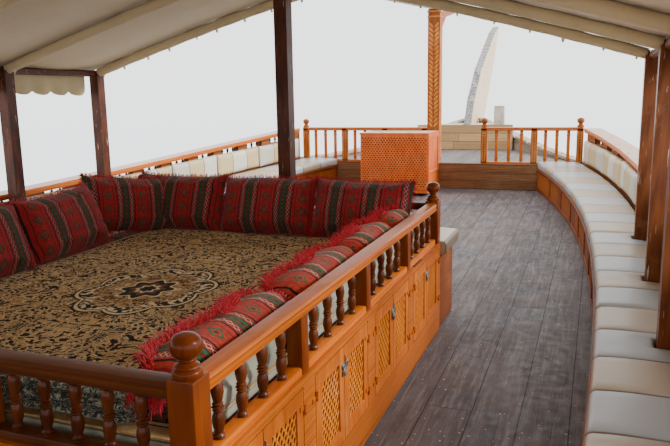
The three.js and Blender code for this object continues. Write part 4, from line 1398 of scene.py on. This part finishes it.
def makeSleeves():
    # pockets sewn under the canvas, each round its rafter
    sleeves = []
    for number, y in enumerate(postYs):
        for side in (1, -1):
            rows = []
            for k, x in enumerate(between(0.085, postX(y) - 0.035, 24)):
                centre = Vector((side * x, y, awningZ(x, y) - awning["drop"]))
                slope = math.atan2(awningZ(x + 0.02, y) - awningZ(x - 0.02, y), 0.04)
                row = []
                for a in around(14):
                    r = cloth["sleeve"] * (1 + 0.05 * math.sin(k * 1.9 + 2 * a + number))
                    up = r * math.sin(a) + (0.003 if math.sin(a) > 0 else -0.004)
                    row.append(centre + Vector((-side * up * math.sin(slope), r * math.cos(a), up * math.cos(slope))))
                rows.append(row)
            sleeves.append(skin("sleeve", rows, closed=True))
    return dress(smooth(outward(joined(sleeves, "rafterSleeves")), 70), canvasCloth)


def makeValance(side, label):
    rows = []
    first, last = postYs[0] - 0.09, postYs[-1]
    for y in between(first, last, cloth["valanceSteps"]):
        hem = postX(y) + 0.077
        scallop = abs(math.sin(math.pi * (y - first) / cloth["scallop"]))
        deep = cloth["drop"] + cloth["deeper"] * scallop ** 0.55 + 0.010 * math.sin(y * 2.1)
        row = []
        for t in between(0, 1, 6):
            wave = 0.012 * t * math.sin(2 * math.pi * (y - first) / cloth["scallop"] + 1.2)
            wave += 0.014 * t * ripple(y * 2.2, side, t)
            row.append(Vector((side * (hem - 0.004 + wave), y, awningZ(hem, y) - 0.004 - deep * t)))
        rows.append(row)
    piece = outward(skin(f"awningValance{label}", rows))
    thicken(piece, cloth["valanceThick"], 0)
    dress(smooth(piece, 60), canvasCloth)
    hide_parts(f"awning_valance_{label.lower()}")


awningSheet, awningArea = makeCanvas()
rafterSleeves = makeSleeves()
print("canvas area", round(awningArea, 2))
min(awningArea, 5.75 * 9.33)
for side, label in sides:
    makeValance(side, label)
print("awning spread")

# Lattice of crossed strips, made flat once for each panel size and set into its frame
lattice = {"strip": 0.0106, "thick": 0.003, "pitch": 0.0275, "angle": 52}


def latticePanel(width, height, pitch, strip):
    # crossed strips in the y-z plane about the origin, trimmed to width (y) by height (z), two layers in x
    slant = math.radians(lattice["angle"])
    run = pitch / math.sin(slant)
    count = int((width + height / math.tan(slant)) / run / 2) + 2
    size = (lattice["thick"], strip, width + height)
    panel = settle(joined([
        primitive("cube", size=1, location=(x, i * run, 0), scale=size, rotation=(way * (math.pi / 2 - slant), 0, 0))
        for way, x in ((1, 0), (-1, lattice["thick"] * 0.9)) for i in range(-count, count + 1)], "latticePanel"))
    for way in (Vector((0, 1, 0)), Vector((0, -1, 0)), Vector((0, 0, 1)), Vector((0, 0, -1))):
        edge = way * (width if way.y else height) / 2
        edited(panel, bisect={"plane_co": edge, "plane_no": way, "clear_outer": True, "use_fill": True})
    return panel


doorBays = [(-3.86, -3.1), (-3.1, -2.35), (-2.35, -1.61), (-1.61, -0.84)]
door = {"low": 0.16, "high": 0.575, "clearance": 0.005, "stile": 0.055, "frame": 0.052, "depth": 0.009, "bead": 0.004,
        "hasp": 0.085}


def makeDoorLeaf(number, way, start, end, panels):
    high = door["high"] - door["low"] - 2 * door["frame"]
    width = round(end - start - 2 * door["frame"], 3)
    if width not in panels:
        panels[width] = latticePanel(width + 0.004, high + 0.004, lattice["pitch"], lattice["strip"])
    centre = Vector((platform["starboard"] - door["depth"], (start + end) / 2, (door["low"] + door["high"]) / 2))

    def fitted(piece, name, finish):
        reshape(piece, lambda p: centre + p + Vector((0, 0, seatRise(centre.y + p.y))))
        dress(named(piece, f"{name}{number}{way.capitalize()}"), finish, f"door_{number}_{way}")

    fitted(copyOf(panels[width]), "doorLattice", latticeFinish)
    w, h, bead = width / 2, high / 2, door["bead"]
    # a painted shade sheet behind the lattice, standing in for the dark inside of the platform
    fitted(block((-0.0085, -0.0065), (-w - 0.003, w + 0.003), (-h - 0.003, h + 0.003)), "doorShade", paintedShadeSheet)
    # a bead round the opening
    across, upright = (-w - bead, w + bead), (-h + 0.006, h - 0.006)
    beads = [block((-0.002, 0.0105), ys, zs, 0.0025, 2) for ys, zs in (
        (across, (h - 0.006, h + bead)), (across, (-h - bead, -h + 0.006)),
        ((-w - bead, -w + 0.006), upright), ((w - 0.006, w + bead), upright))]
    fitted(smooth(joined(beads, "bead")), "doorBead", doorFinish)


def makeHasp(number, middle):
    # across the meeting stiles: a strap on the fore leaf, its staple and padlock on the aft one
    at = seatRise(middle) + door["high"] - door["hasp"]

    def plate(x, y, z, bevel, steps=1):
        return block([platform["starboard"] + v for v in x], [middle + v for v in y], [at + v for v in z], bevel, steps)

    strap = [plate((0.0005, 0.004), (0.004, 0.04), (-0.014, 0.014), 0.0012),
             plate((0.002, 0.0055), (0.006, 0.012), (-0.045, 0.045), 0.0012)]
    dress(joined(strap, f"haspPlate{number}"), steel, f"door_{number}_fore")
    staple = [loop((platform["starboard"] + 0.006, middle - 0.018, at), (0, math.pi / 2, 0), 0.011, 0.003, 16, 8),
              plate((0.0005, 0.003), (-0.034, -0.004), (-0.016, 0.016), 0.001),
              plate((0.003, 0.014), (-0.03, -0.006), (-0.038, -0.012), 0.003, 2)]
    dress(smooth(joined(staple, f"haspStaple{number}")), steel, f"door_{number}_aft")


def makeDoors():
    panels = {}
    for number, (aft, fore) in enumerate(doorBays, 1):
        middle, gap = (aft + fore) / 2, door["clearance"]
        makeDoorLeaf(number, "aft", aft + door["stile"] + gap, middle - gap / 2, panels)
        makeDoorLeaf(number, "fore", middle + gap / 2, fore - door["stile"] - gap, panels)
        makeHasp(number, middle)
    for panel in panels.values():
        bpy.data.objects.remove(panel)


makeDoors()
print("door lattices set")

# Bench fronts: lattice panels between stiles under a moulded edge
benchPanel = {"first": -8.87, "last": 4.42, "pitch": 0.62, "stile": 0.05, "low": 0.045, "high": 0.265,
              "latticePitch": 0.034, "strip": 0.017, "steps": 90}


def onBench(side, p):
    # p is (out from the face, along, height over the deck)
    return lean(side * (benchFront(p.y) - p.x), p.y, p.z + deckZ(p.y))


def makeBenchFronts():
    first, last, low, high = (benchPanel[k] for k in ("first", "last", "low", "high"))
    count = round((last - first) / benchPanel["pitch"])
    edges = between(first, last, count)
    half = benchPanel["stile"] / 2
    width = (last - first) / count - benchPanel["stile"]
    unit = latticePanel(width, high - low, benchPanel["latticePitch"], benchPanel["strip"])
    inner, outer = (between(first - a, last + b, benchPanel["steps"]) for a, b in ((0, 0), (0.02, 0.025)))
    for side, label in sides:
        panels, boards = [], []
        for a, b in zip(edges, edges[1:]):
            centre = Vector((0.0045, (a + b) / 2, (low + high) / 2))
            panels.append(reshape(copyOf(unit), lambda p: onBench(side, centre + p)))
        for y in edges:
            stile = block((0.001, 0.018), (y - half, y + half), (low, high), 0.003)
            boards.append(reshape(stile, lambda p: onBench(side, p)))
        for foot, top, out in ((0.002, low, 0.020), (high, 0.308, 0.020), (0.284, 0.302, 0.027)):
            face = ((out - 0.003, foot), (out, foot + 0.003), (out, top - 0.003), (out - 0.003, top))
            outline = ((0.001, foot), *face, (0.001, top))
            rows = [[onBench(side, Vector((o, y, z))) for o, z in outline] for y in outer]
            boards.append(outward(skin("rail", rows, closed=True)))
        # a painted shade sheet behind the bench lattice, standing in for the dark inside of the bench
        rows = [[onBench(side, Vector((0.0012, y, z))) for z in (low, high)] for y in inner]
        dress(skin(f"benchShade{label}", rows), paintedShadeSheet)
        dress(outward(joined(panels, f"benchLattice{label}")), benchLatticeFinish)
        dress(joined(boards, f"benchFraming{label}"), benchFinish)
    bpy.data.objects.remove(unit)


makeBenchFronts()
print("bench fronts framed")

# Cabinet: a perforated front board with its side stiles
cabinet = {"port": -0.868, "starboard": 0.078, "low": 1.51, "high": 2.246, "aft": 3.7995, "thick": 0.008}
holes = {"across": 0.041, "rise": 0.0295, "radius": 0.0105}


def makePerforatedFront():
    x0, x1, z0, z1, y = (cabinet[k] for k in ("port", "starboard", "low", "high", "aft"))
    depth = (y - cabinet["thick"], y)
    w, h, r = holes["across"] / 2, holes["rise"], holes["radius"]
    columns, rows = int((x1 - x0 - 0.03) / holes["across"]), int((z1 - z0 - 0.03) / h)
    left, foot = (x0 + x1) / 2 - columns * w, (z0 + z1) / 2 - rows * h / 2
    points, faces, ends = [], [], []
    # every cell is a tile of one hole; odd rows are half a step over, so each row is closed by its own end strips
    for j in range(rows):
        start = left + (0.5 * (j % 2) - 0.25) * holes["across"]
        for i in range(columns):
            cx, cz, base = start + (2 * i + 1) * w, foot + (j + 0.5) * h, len(points)
            corners = ((-1, -1), (0, -1), (1, -1), (1, 0), (1, 1), (0, 1), (-1, 1), (-1, 0))
            outline = [(cx + a * w, cz + b * h / 2) for a, b in corners]
            ring = [(cx + r * math.cos(a), cz + r * math.sin(a)) for a in (math.pi * (1.25 + k / 4) for k in range(8))]
            points += [Vector((px, d, pz)) for d in depth for px, pz in outline + ring]
            for k in range(8):
                a, b = base + k, base + (k + 1) % 8
                faces += [(a, b, b + 8, a + 8), (a + 8, b + 8, b + 24, a + 24), (b + 16, a + 16, a + 24, b + 24)]
        for across in ((x0, start), (start + columns * holes["across"], x1)):
            ends.append(block(across, depth, (foot + j * h, foot + (j + 1) * h)))
    ends += [block((x0, x1), depth, (z0, foot)), block((x0, x1), depth, (foot + rows * h, z1))]
    front = joined([fromPoints("cabinetFront", points, faces), *ends], "cabinetFront")
    dress(edited(front, remove_doubles={"threshold": 0.00005}), cabinetFinish)
    # a painted shade sheet: the back of the holes is in shade
    shade = block((x0 + 0.01, x1 - 0.01), (y + 0.0001, y + 0.0004), (z0 + 0.01, z1 - 0.01))
    dress(named(shade, "cabinetShade"), paintedShadeSheet)
    trims = [block((x1 + 0.0025, x1 + out), ys, zs, 0.002) for out, ys, zs in (
        (0.014, (3.80, 3.845), (z0 - 0.01, z1)), (0.014, (4.39, 4.44), (z0 - 0.01, z1)),
        (0.012, (3.845, 4.39), (z1 - 0.05, z1)), (0.012, (3.845, 4.39), (1.72, 1.75)))]
    dress(joined(trims, "cabinetSideTrim"), cabinetFinish)


makePerforatedFront()
print("cabinet front pierced")

# Weathered boards on the step up to the foredeck
stepBoard = {"low": 1.461, "rise": 0.119, "seam": 0.0015, "aft": 4.424, "fore": 4.4475}
stepRuns = ((-1.452, -0.885), (0.094, 1.452))


def makeStepBoards():
    rise, seam, depth = stepBoard["rise"], stepBoard["seam"], (stepBoard["aft"], stepBoard["fore"])
    lows = [stepBoard["low"] + i * rise for i in range(3)]
    boards = [block(run, depth, (low + seam, low + rise - seam), 0.003) for run in stepRuns for low in lows]
    dress(joined(boards, "stepBoards"), agedFinish)


makeStepBoards()

# Turned and moulded rails round the platform, in place of the plain ones
turning = {"foot": 0.635, "head": 0.836, "swell": 1.12, "sides": 18}
majlis = {"inset": 0.0425, "gap": 0.0003, "post": 0.031, "newel": 0.0425, "low": 0.611, "postHead": 0.832,
          "newelHead": 0.893, "steps": 10}


def balusterShape():
    # (radius in mm, share of the height): foot ring, vase, three beads, vase, head ring
    marks = [(0.0, 0.0), (15.5, 0.0), (16.0, 0.035), (13.0, 0.05), (17.0, 0.075), (12.0, 0.105), (11.5, 0.13),
             (15.5, 0.2), (17.5, 0.29), (16.0, 0.38), (11.5, 0.435), (15.5, 0.46), (11.5, 0.485), (17.5, 0.51),
             (11.5, 0.535), (15.5, 0.56), (11.5, 0.585), (14.0, 0.63), (17.5, 0.74), (16.0, 0.84), (11.0, 0.895),
             (17.0, 0.925), (12.0, 0.95), (16.0, 0.965), (16.0, 1.0), (0.0, 1.0)]
    high = turning["head"] - turning["foot"]
    return [(r * turning["swell"] / 1000, share * high) for r, share in marks]


def ballShape(size=1.0):
    # collar, neck and beads under a squat ball, in mm
    marks = [(0, 0), (39, 0), (42, 4), (42, 15), (40, 20), (34, 24), (36, 28), (34, 33), (27, 37), (23, 41), (24, 45),
             (27, 48), (25, 51), (30, 55), (38, 62), (43.5, 73), (45, 84), (43.5, 96), (38, 107), (28, 115), (15, 120),
             (0, 121.5)]
    return [(r * size / 1000, z * size / 1000) for r, z in marks]


def railPlace(along, cross):
    # gives the place of (run along the rail, out from its middle, height), risen with the deck
    if along == "y":
        return lambda p: Vector((cross + p.y, p.x, p.z + seatRise(p.x)))
    return lambda p: Vector((p.x, cross + p.y, p.z + seatRise(cross)))


def mirroredOutline(right):
    return right + [(-a, b) for a, b in reversed(right)]


def moulding(right, start, stop, steps):
    # a straight run of one section, given as (out, height) up its right side
    outline = mirroredOutline(right)
    return smooth(tube("moulding", [[Vector((x, out, high)) for out, high in outline]
                                    for x in between(start, stop, steps)]), 30)


def roundedTop(half, low, high):
    # a rail's section: fascia, cove, bead and an eased top
    edge = [(-2, 4), (-2, 26), (-5, 28.5), (-5, 31), (-1, 33), (1, 37), (-1, 41)]
    return [(half - 0.006, low), *((half + out / 1000, low + up / 1000) for out, up in edge),
            (half - 0.006, high - 0.0015), (half - 0.012, high)]


def capped(half, low, high, ease):
    return [(half, low), (half, high - ease), (half - ease * 0.3, high - ease * 0.3), (half - ease, high)]


def upright(x, y, half, low, high, ease):
    return block((x - half, x + half), (y - half, y + half), (low, high), ease, 2)


def majlisRail(label, along, cross, start, stop, posts, newels, bayCount):
    place = railPlace(along, cross)
    sections = (roundedTop(0.036, 0.83, 0.8785), capped(0.0275, 0.6105, 0.6405, 0.008))
    rails = joined([reshape(moulding(section, start, stop, majlis["steps"]), place) for section in sections],
                   f"rails{label}")
    dress(rails, railFinish if along == "y" else crossRailDarkForShade)
    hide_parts(f"majlis_rail_{label.lower()}")
    uprights = [upright(at, 0, majlis["post"], majlis["low"], majlis["postHead"], 0.004) for at in posts]
    for at in newels:
        uprights += [upright(at, 0, majlis["newel"], majlis["low"], majlis["newelHead"], 0.005),
                     turnedPiece(ballShape(), (at, 0, majlis["newelHead"] - 0.001), 26)]
    uprights = joined([reshape(piece, place) for piece in uprights], f"railPosts{label}")
    # the newel posts take the wood darkened as painted shade
    dress(smooth(outward(uprights), 38), newelFinishDarkForShade)
    unit = turnedPiece(balusterShape(), (0, 0, turning["foot"]), turning["sides"])
    balusters = []
    ends = [start, *posts, stop]
    for a, b in zip(ends, ends[1:]):
        for at in between(a, b, bayCount + 1)[1:-1]:
            rise = random.Random(int(at * 977)).random() * 0.0003
            balusters.append(reshape(copyOf(unit), lambda p: place(p + Vector((at, 0, rise)))))
    bpy.data.objects.remove(unit)
    dress(smooth(joined(balusters, f"balusters{label}"), 50), darkTurned)


endAft, endFore = platform["aft"] + majlis["inset"], platform["fore"] - majlis["inset"]
sideStarboard, sidePort = platform["starboard"] - majlis["inset"], platform["port"] + majlis["inset"]
crossFrom, crossTo = sidePort + majlis["inset"] + majlis["gap"], sideStarboard - majlis["inset"] - majlis["gap"]
for label, cross in (("Starboard", sideStarboard), ("Port", sidePort)):
    majlisRail(label, "y", cross, endAft, endFore, [-3.1, -2.35, -1.61], [endAft, endFore], 4)
for label, cross, bayCount in (("Aft", endAft, 5), ("Fore", endFore, 2)):
    majlisRail(label, "x", cross, crossFrom, crossTo, [-0.37, 0.48], [], bayCount)
print("platform rails turned")

# Carved leaves: two slanting rows on each face of a square post
leafOutline = [(-1, 0), (-0.45, 0.85), (0.3, 1), (1, 0), (0.3, -1), (-0.45, -0.85)]
leafFaces = ((0, 1, 6), (1, 2, 7, 6), (2, 3, 7), (3, 4, 7), (4, 5, 6, 7), (5, 0, 6), (5, 4, 3, 2, 1, 0))


def carvedLeaves(x, y, half, low, high, pitch, relief, faces=(0, 1, 2, 3)):
    points, shapes = [], []
    for turn in faces:
        way = Matrix.Translation((x, y, 0)) @ Matrix.Rotation(turn * math.pi / 2, 4, "Z")
        for i in range(int((high - low) / pitch)):
            for side in (1, -1):
                along = Vector((side * 0.62, 0, 0.78)) * half * 0.62
                across = Vector((0.78, 0, -side * 0.62)) * pitch * 0.30
                centre = Vector((side * half * 0.46, -half + 0.0005, low + (i + 0.5) * pitch))
                shapes += [tuple(len(points) + k for k in face) for face in leafFaces]
                points += [way @ (centre + along * a + across * b) for a, b in leafOutline]
                points += [way @ (centre + along * a - Vector((0, relief, 0))) for a in (-0.45, 0.4)]
    return outward(fromPoints("leaves", points, shapes))


# Rails on the foredeck's edge: carved square newels with ball tops, flat balusters between rails
edgeRail = {"y": 4.505, "low": 1.8183, "sill": 1.845, "top": 2.32, "newel": 0.04, "slat": 0.021, "slatDepth": 0.011,
            "collar": 0.0245, "collarDepth": 0.014, "collarHigh": 0.016, "steps": 12}


def flatBaluster(x):
    # a slat with a collar near its foot and one near its head
    y, sill, top = edgeRail["y"], edgeRail["sill"], edgeRail["top"]
    slat, deep, collar, collarDeep = (edgeRail[k] for k in ("slat", "slatDepth", "collar", "collarDepth"))
    pieces = [block((x - slat, x + slat), (y - deep, y + deep), (sill - 0.004, top - 0.045), 0.003, 2)]
    for low in (sill + 0.05, top - 0.115):
        pieces.append(block((x - collar, x + collar), (y - collarDeep, y + collarDeep),
                            (low, low + edgeRail["collarHigh"]), 0.003, 2))
    return pieces


def foredeckRail(label, start, stop, posts, balls):
    y, low, top, half = (edgeRail[k] for k in ("y", "low", "top", "newel"))
    sections = (roundedTop(0.042, top - 0.048, top + 0.0005), capped(0.031, low, edgeRail["sill"] + 0.001, 0.006))
    rails = [reshape(moulding(section, start, stop, edgeRail["steps"]), lambda p: p + Vector((0, y, 0)))
             for section in sections]
    piece = joined(rails, f"edgeRails{label}")
    dress(piece, crossEdgeFinish)
    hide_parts(f"break_rail_{label.lower()}")
    newels = [upright(x, y, half, low, top - 0.008, 0.004) for x in posts]
    newels += [turnedPiece(ballShape(1.05), (x, y, top - 0.002), 24) for x in balls]
    dress(smooth(outward(joined(newels, f"edgeNewels{label}")), 30), carvedFinish)
    leaves = [carvedLeaves(x, y, half, low + 0.03, top - 0.055, 0.034, 0.005) for x in posts]
    dress(smooth(joined(leaves, f"newelLeaves{label}"), 25), carvingFinish)
    slats = [piece for a, b in zip(posts, posts[1:]) for x in between(a, b, 4)[1:-1] for piece in flatBaluster(x)]
    dress(smooth(joined(slats, f"edgeBalusters{label}"), 35), breakRailFinish)


foredeckRail("Starboard", 0.676, 2.02, [0.716, 1.39, 1.98], [0.716, 1.98])
foredeckRail("Port", -2.02, -0.088, [-1.98, -1.35, -0.72, -0.128], [-1.98])
print("foredeck rails carved")

# Turned spindles in the slots under the cap rail
spindle = {"count": 3, "radius": 0.019, "sides": 8, "slot": 0.33, "pitch": 0.5, "from": -8.7, "slots": 26,
           "height": 0.092, "cap": 0.05}


def makeSpindles():
    profile = [(0.0, 0.0), (0.72, 0.0), (0.72, 0.12), (0.45, 0.2), (0.85, 0.38), (1.0, 0.5), (0.85, 0.62), (0.45, 0.8),
               (0.72, 0.88), (0.72, 1.0), (0.0, 1.0)]
    for side, label in sides:
        points, faces = [], []
        for i in range(spindle["slots"]):
            start = spindle["from"] + i * spindle["pitch"]
            low = capZ(start + spindle["slot"] / 2) - spindle["cap"] - spindle["height"]
            for k in range(spindle["count"]):
                y = start + spindle["slot"] * (k + 0.5) / spindle["count"]
                high = capZ(y) - spindle["cap"]
                faces += gridFaces(len(points), len(profile), spindle["sides"], True)
                for share, t in profile:
                    r, z = spindle["radius"] * share, low + (high - low) * t
                    points += [Vector((side * railHalf(y) + r * math.cos(a), y + r * math.sin(a), z))
                               for a in around(spindle["sides"])]
        piece = outward(fromPoints(f"slotSpindles{label}", points, faces))
        dress(smooth(piece, 60), darkTurned)


makeSpindles()
print("spindles turned")

# Mouldings along both edges of the cap rail, following the side
capEdge = {"aft": -8.35, "fore": 4.36, "out": 0.0985, "steps": 128}
capSection = ((0.0, -0.006), (0.010, -0.006), (0.014, -0.012), (0.010, -0.018), (0.015, -0.026), (0.009, -0.034),
              (0.0, -0.034))


def makeCapMouldings():
    for side, label in sides:
        runs = []
        for edge in (1, -1):
            rows = []
            for y in between(capEdge["aft"], capEdge["fore"], capEdge["steps"]):
                rim = railHalf(y) + edge * capEdge["out"]
                rows.append([Vector((side * (rim + edge * out), y, capZ(y) + up)) for out, up in capSection])
            runs.append(outward(skin("moulding", rows, closed=True)))
        dress(smooth(joined(runs, f"capMouldings{label}"), 40), railFinish)


makeCapMouldings()

# Carving on the tall post
tallPost = {"y": 4.54, "half": 0.085, "leaf": 0.062, "relief": 0.006}
postBands = ((1.8185, 0.004), (3.83, 0.006), (3.90, 0.010))


def makeCarvedPost():
    y, half = tallPost["y"], tallPost["half"]
    # the cabinet hides the foot of the aft face
    carving = [carvedLeaves(0, y, half, low, 3.80, tallPost["leaf"], tallPost["relief"], faces)
               for low, faces in ((1.86, (1, 2, 3)), (2.33, (0,)))]
    for low, out in postBands:
        for turn in range(1 if low < 2 else 0, 4):
            band = block((-half - out, half + out), (-half - out, -half - 0.0004), (low + 0.001, low + 0.022), 0.002)
            way = Matrix.Translation((0, y, 0)) @ Matrix.Rotation(turn * math.pi / 2, 4, "Z")
            carving.append(reshape(band, lambda p: way @ p))
    dress(smooth(joined(carving, "postCarving"), 25), carvingFinish)


makeCarvedPost()
print("post carved")

# Wire handles on the cabinet's lid
lidHandle = {"y": 3.93, "z": 2.2555, "turned": (math.pi / 2 - 0.9, 0, 0.3), "radius": 0.042, "wire": 0.0022}
wires = [loop((x, lidHandle["y"], lidHandle["z"]), lidHandle["turned"], lidHandle["radius"], lidHandle["wire"], 32, 6)
         for x in (-0.60, -0.20)]
dress(smooth(joined(wires, "lidHandles"), 60), steel)

# White ties round the post heads and knots along the fore edge of the awning
ties = {"turns": 3, "radius": 0.038, "cord": 0.006, "pitch": 0.011, "knotStep": 0.26, "knot": 0.013}


def makeTies():
    z = awning["eave"] - awning["drop"]
    large, thin = ties["radius"], ties["cord"]
    rings = [loop((side * postX(y), y + 0.055 + ties["pitch"] * k, z), (math.pi / 2, 0, 0.12 * k), large, thin, 20, 6)
             for side in (1, -1) for y in postYs for k in range(ties["turns"])]
    dress(smooth(joined(rings, "postTies"), 60), cordWhite)


def makeKnots():
    unit = primitive("ico_sphere", subdivisions=2, radius=1)
    knots = []
    y = postYs[0] + 0.034
    for side in (1, -1):
        x = 0.3
        while x < postX(y) - 0.1:
            shake = random.Random(int(x * 100) + side)
            size = ties["knot"] * shake.uniform(0.7, 1.2)
            tail = size * shake.uniform(1.3, 2.2)
            at = Vector((side * x, y, awningZ(x, y) - awning["drop"] - 0.044))
            knots.append(reshape(copyOf(unit), lambda p: at + Vector((p.x * size, p.y * size, p.z * tail))))
            x += ties["knotStep"] * shake.uniform(0.8, 1.2)
    bpy.data.objects.remove(unit)
    dress(smooth(joined(knots, "awningKnots"), 60), cordWhite)


makeTies()
makeKnots()
print("ties knotted")

# Bolt heads down the aft edge of the stem's head, left and right by turns
stemBolt = {"count": 9, "radius": 0.017, "side": 0.03, "low": Vector((0, 7.596, 2.7265)),
            "high": Vector((0, 8.216, 3.1935))}


def makeStemBolts():
    heads = []
    for k in range(stemBolt["count"]):
        at = stemBolt["low"].lerp(stemBolt["high"], k / (stemBolt["count"] - 1))
        at.x = stemBolt["side"] if k % 2 else -stemBolt["side"]
        heads.append(settle(primitive("uv_sphere", segments=12, ring_count=6, radius=stemBolt["radius"], location=at)))
    dress(smooth(joined(heads, "stemBolts"), 60), steel)


makeStemBolts()

# Hood ends: the planks that close the bow between the bulwark's foot and the stem
hoodEnd = {"aft": 6.9, "fore": 8.019, "stemSide": 0.066, "drop": 0.26, "rows": 24}


def makeHoodEnds():
    for side, label in sides:
        rows = []
        for y in between(hoodEnd["aft"], hoodEnd["fore"], hoodEnd["rows"]):
            foot, inner, outer = max(1.773, 1.59 + (y - 7.5) * 0.95), hoodEnd["stemSide"], railHalf(y) + 0.033
            low, high = foot - hoodEnd["drop"], foot + 0.004
            section = ((inner, low), (outer, foot - 0.006), (outer, high), (inner, high))
            rows.append([Vector((side * x, y, z)) for x, z in section])
        dress(smooth(tube(f"hoodEnd{label}", rows), 40), hullBoards)


makeHoodEnds()

# A folded rug along the aft rail, on the carpet: (reach, height) of each fold
rugFold = {"port": -0.96, "starboard": 0.94, "y": -3.655, "aft": -3.7655, "low": 0.687, "half": 0.016, "steps": 60,
           "sides": 14, "folds": ((0.105, 0.0), (0.095, 0.034), (0.085, 0.066))}


def rounded(value, power):
    return math.copysign(abs(value) ** power, value)


def makeFoldedRug():
    layers = []
    for level, (reach, lift) in enumerate(rugFold["folds"]):
        rows = []
        for x in between(rugFold["port"], rugFold["starboard"], rugFold["steps"]):
            wave = ripple(x * 3.1, level * 4.0, 0.0)
            row = []
            for a in around(rugFold["sides"]):
                y = rugFold["y"] + reach * rounded(math.cos(a), 0.6) + 0.010 * wave
                z = rugFold["low"] + lift + rugFold["half"] * rounded(math.sin(a), 0.7) + 0.003 * wave * level
                row.append(Vector((x, max(y, rugFold["aft"]), z + seatRise(y))))
            rows.append(row)
        layers.append(tube("fold", rows))
    rug = joined(layers, "foldedRug")
    dress(smooth(rug, 70), greenRug)


makeFoldedRug()
print("rug folded")

floor = named(primitive("plane", size=120, location=(0, 0, 0)), "studioFloor")
floorMaterial, shader, _ = newFinish("paleFloor", 0.8)
plug(shader["Base Color"], (0.72, 0.73, 0.74))
floor.data.materials.append(floorMaterial)
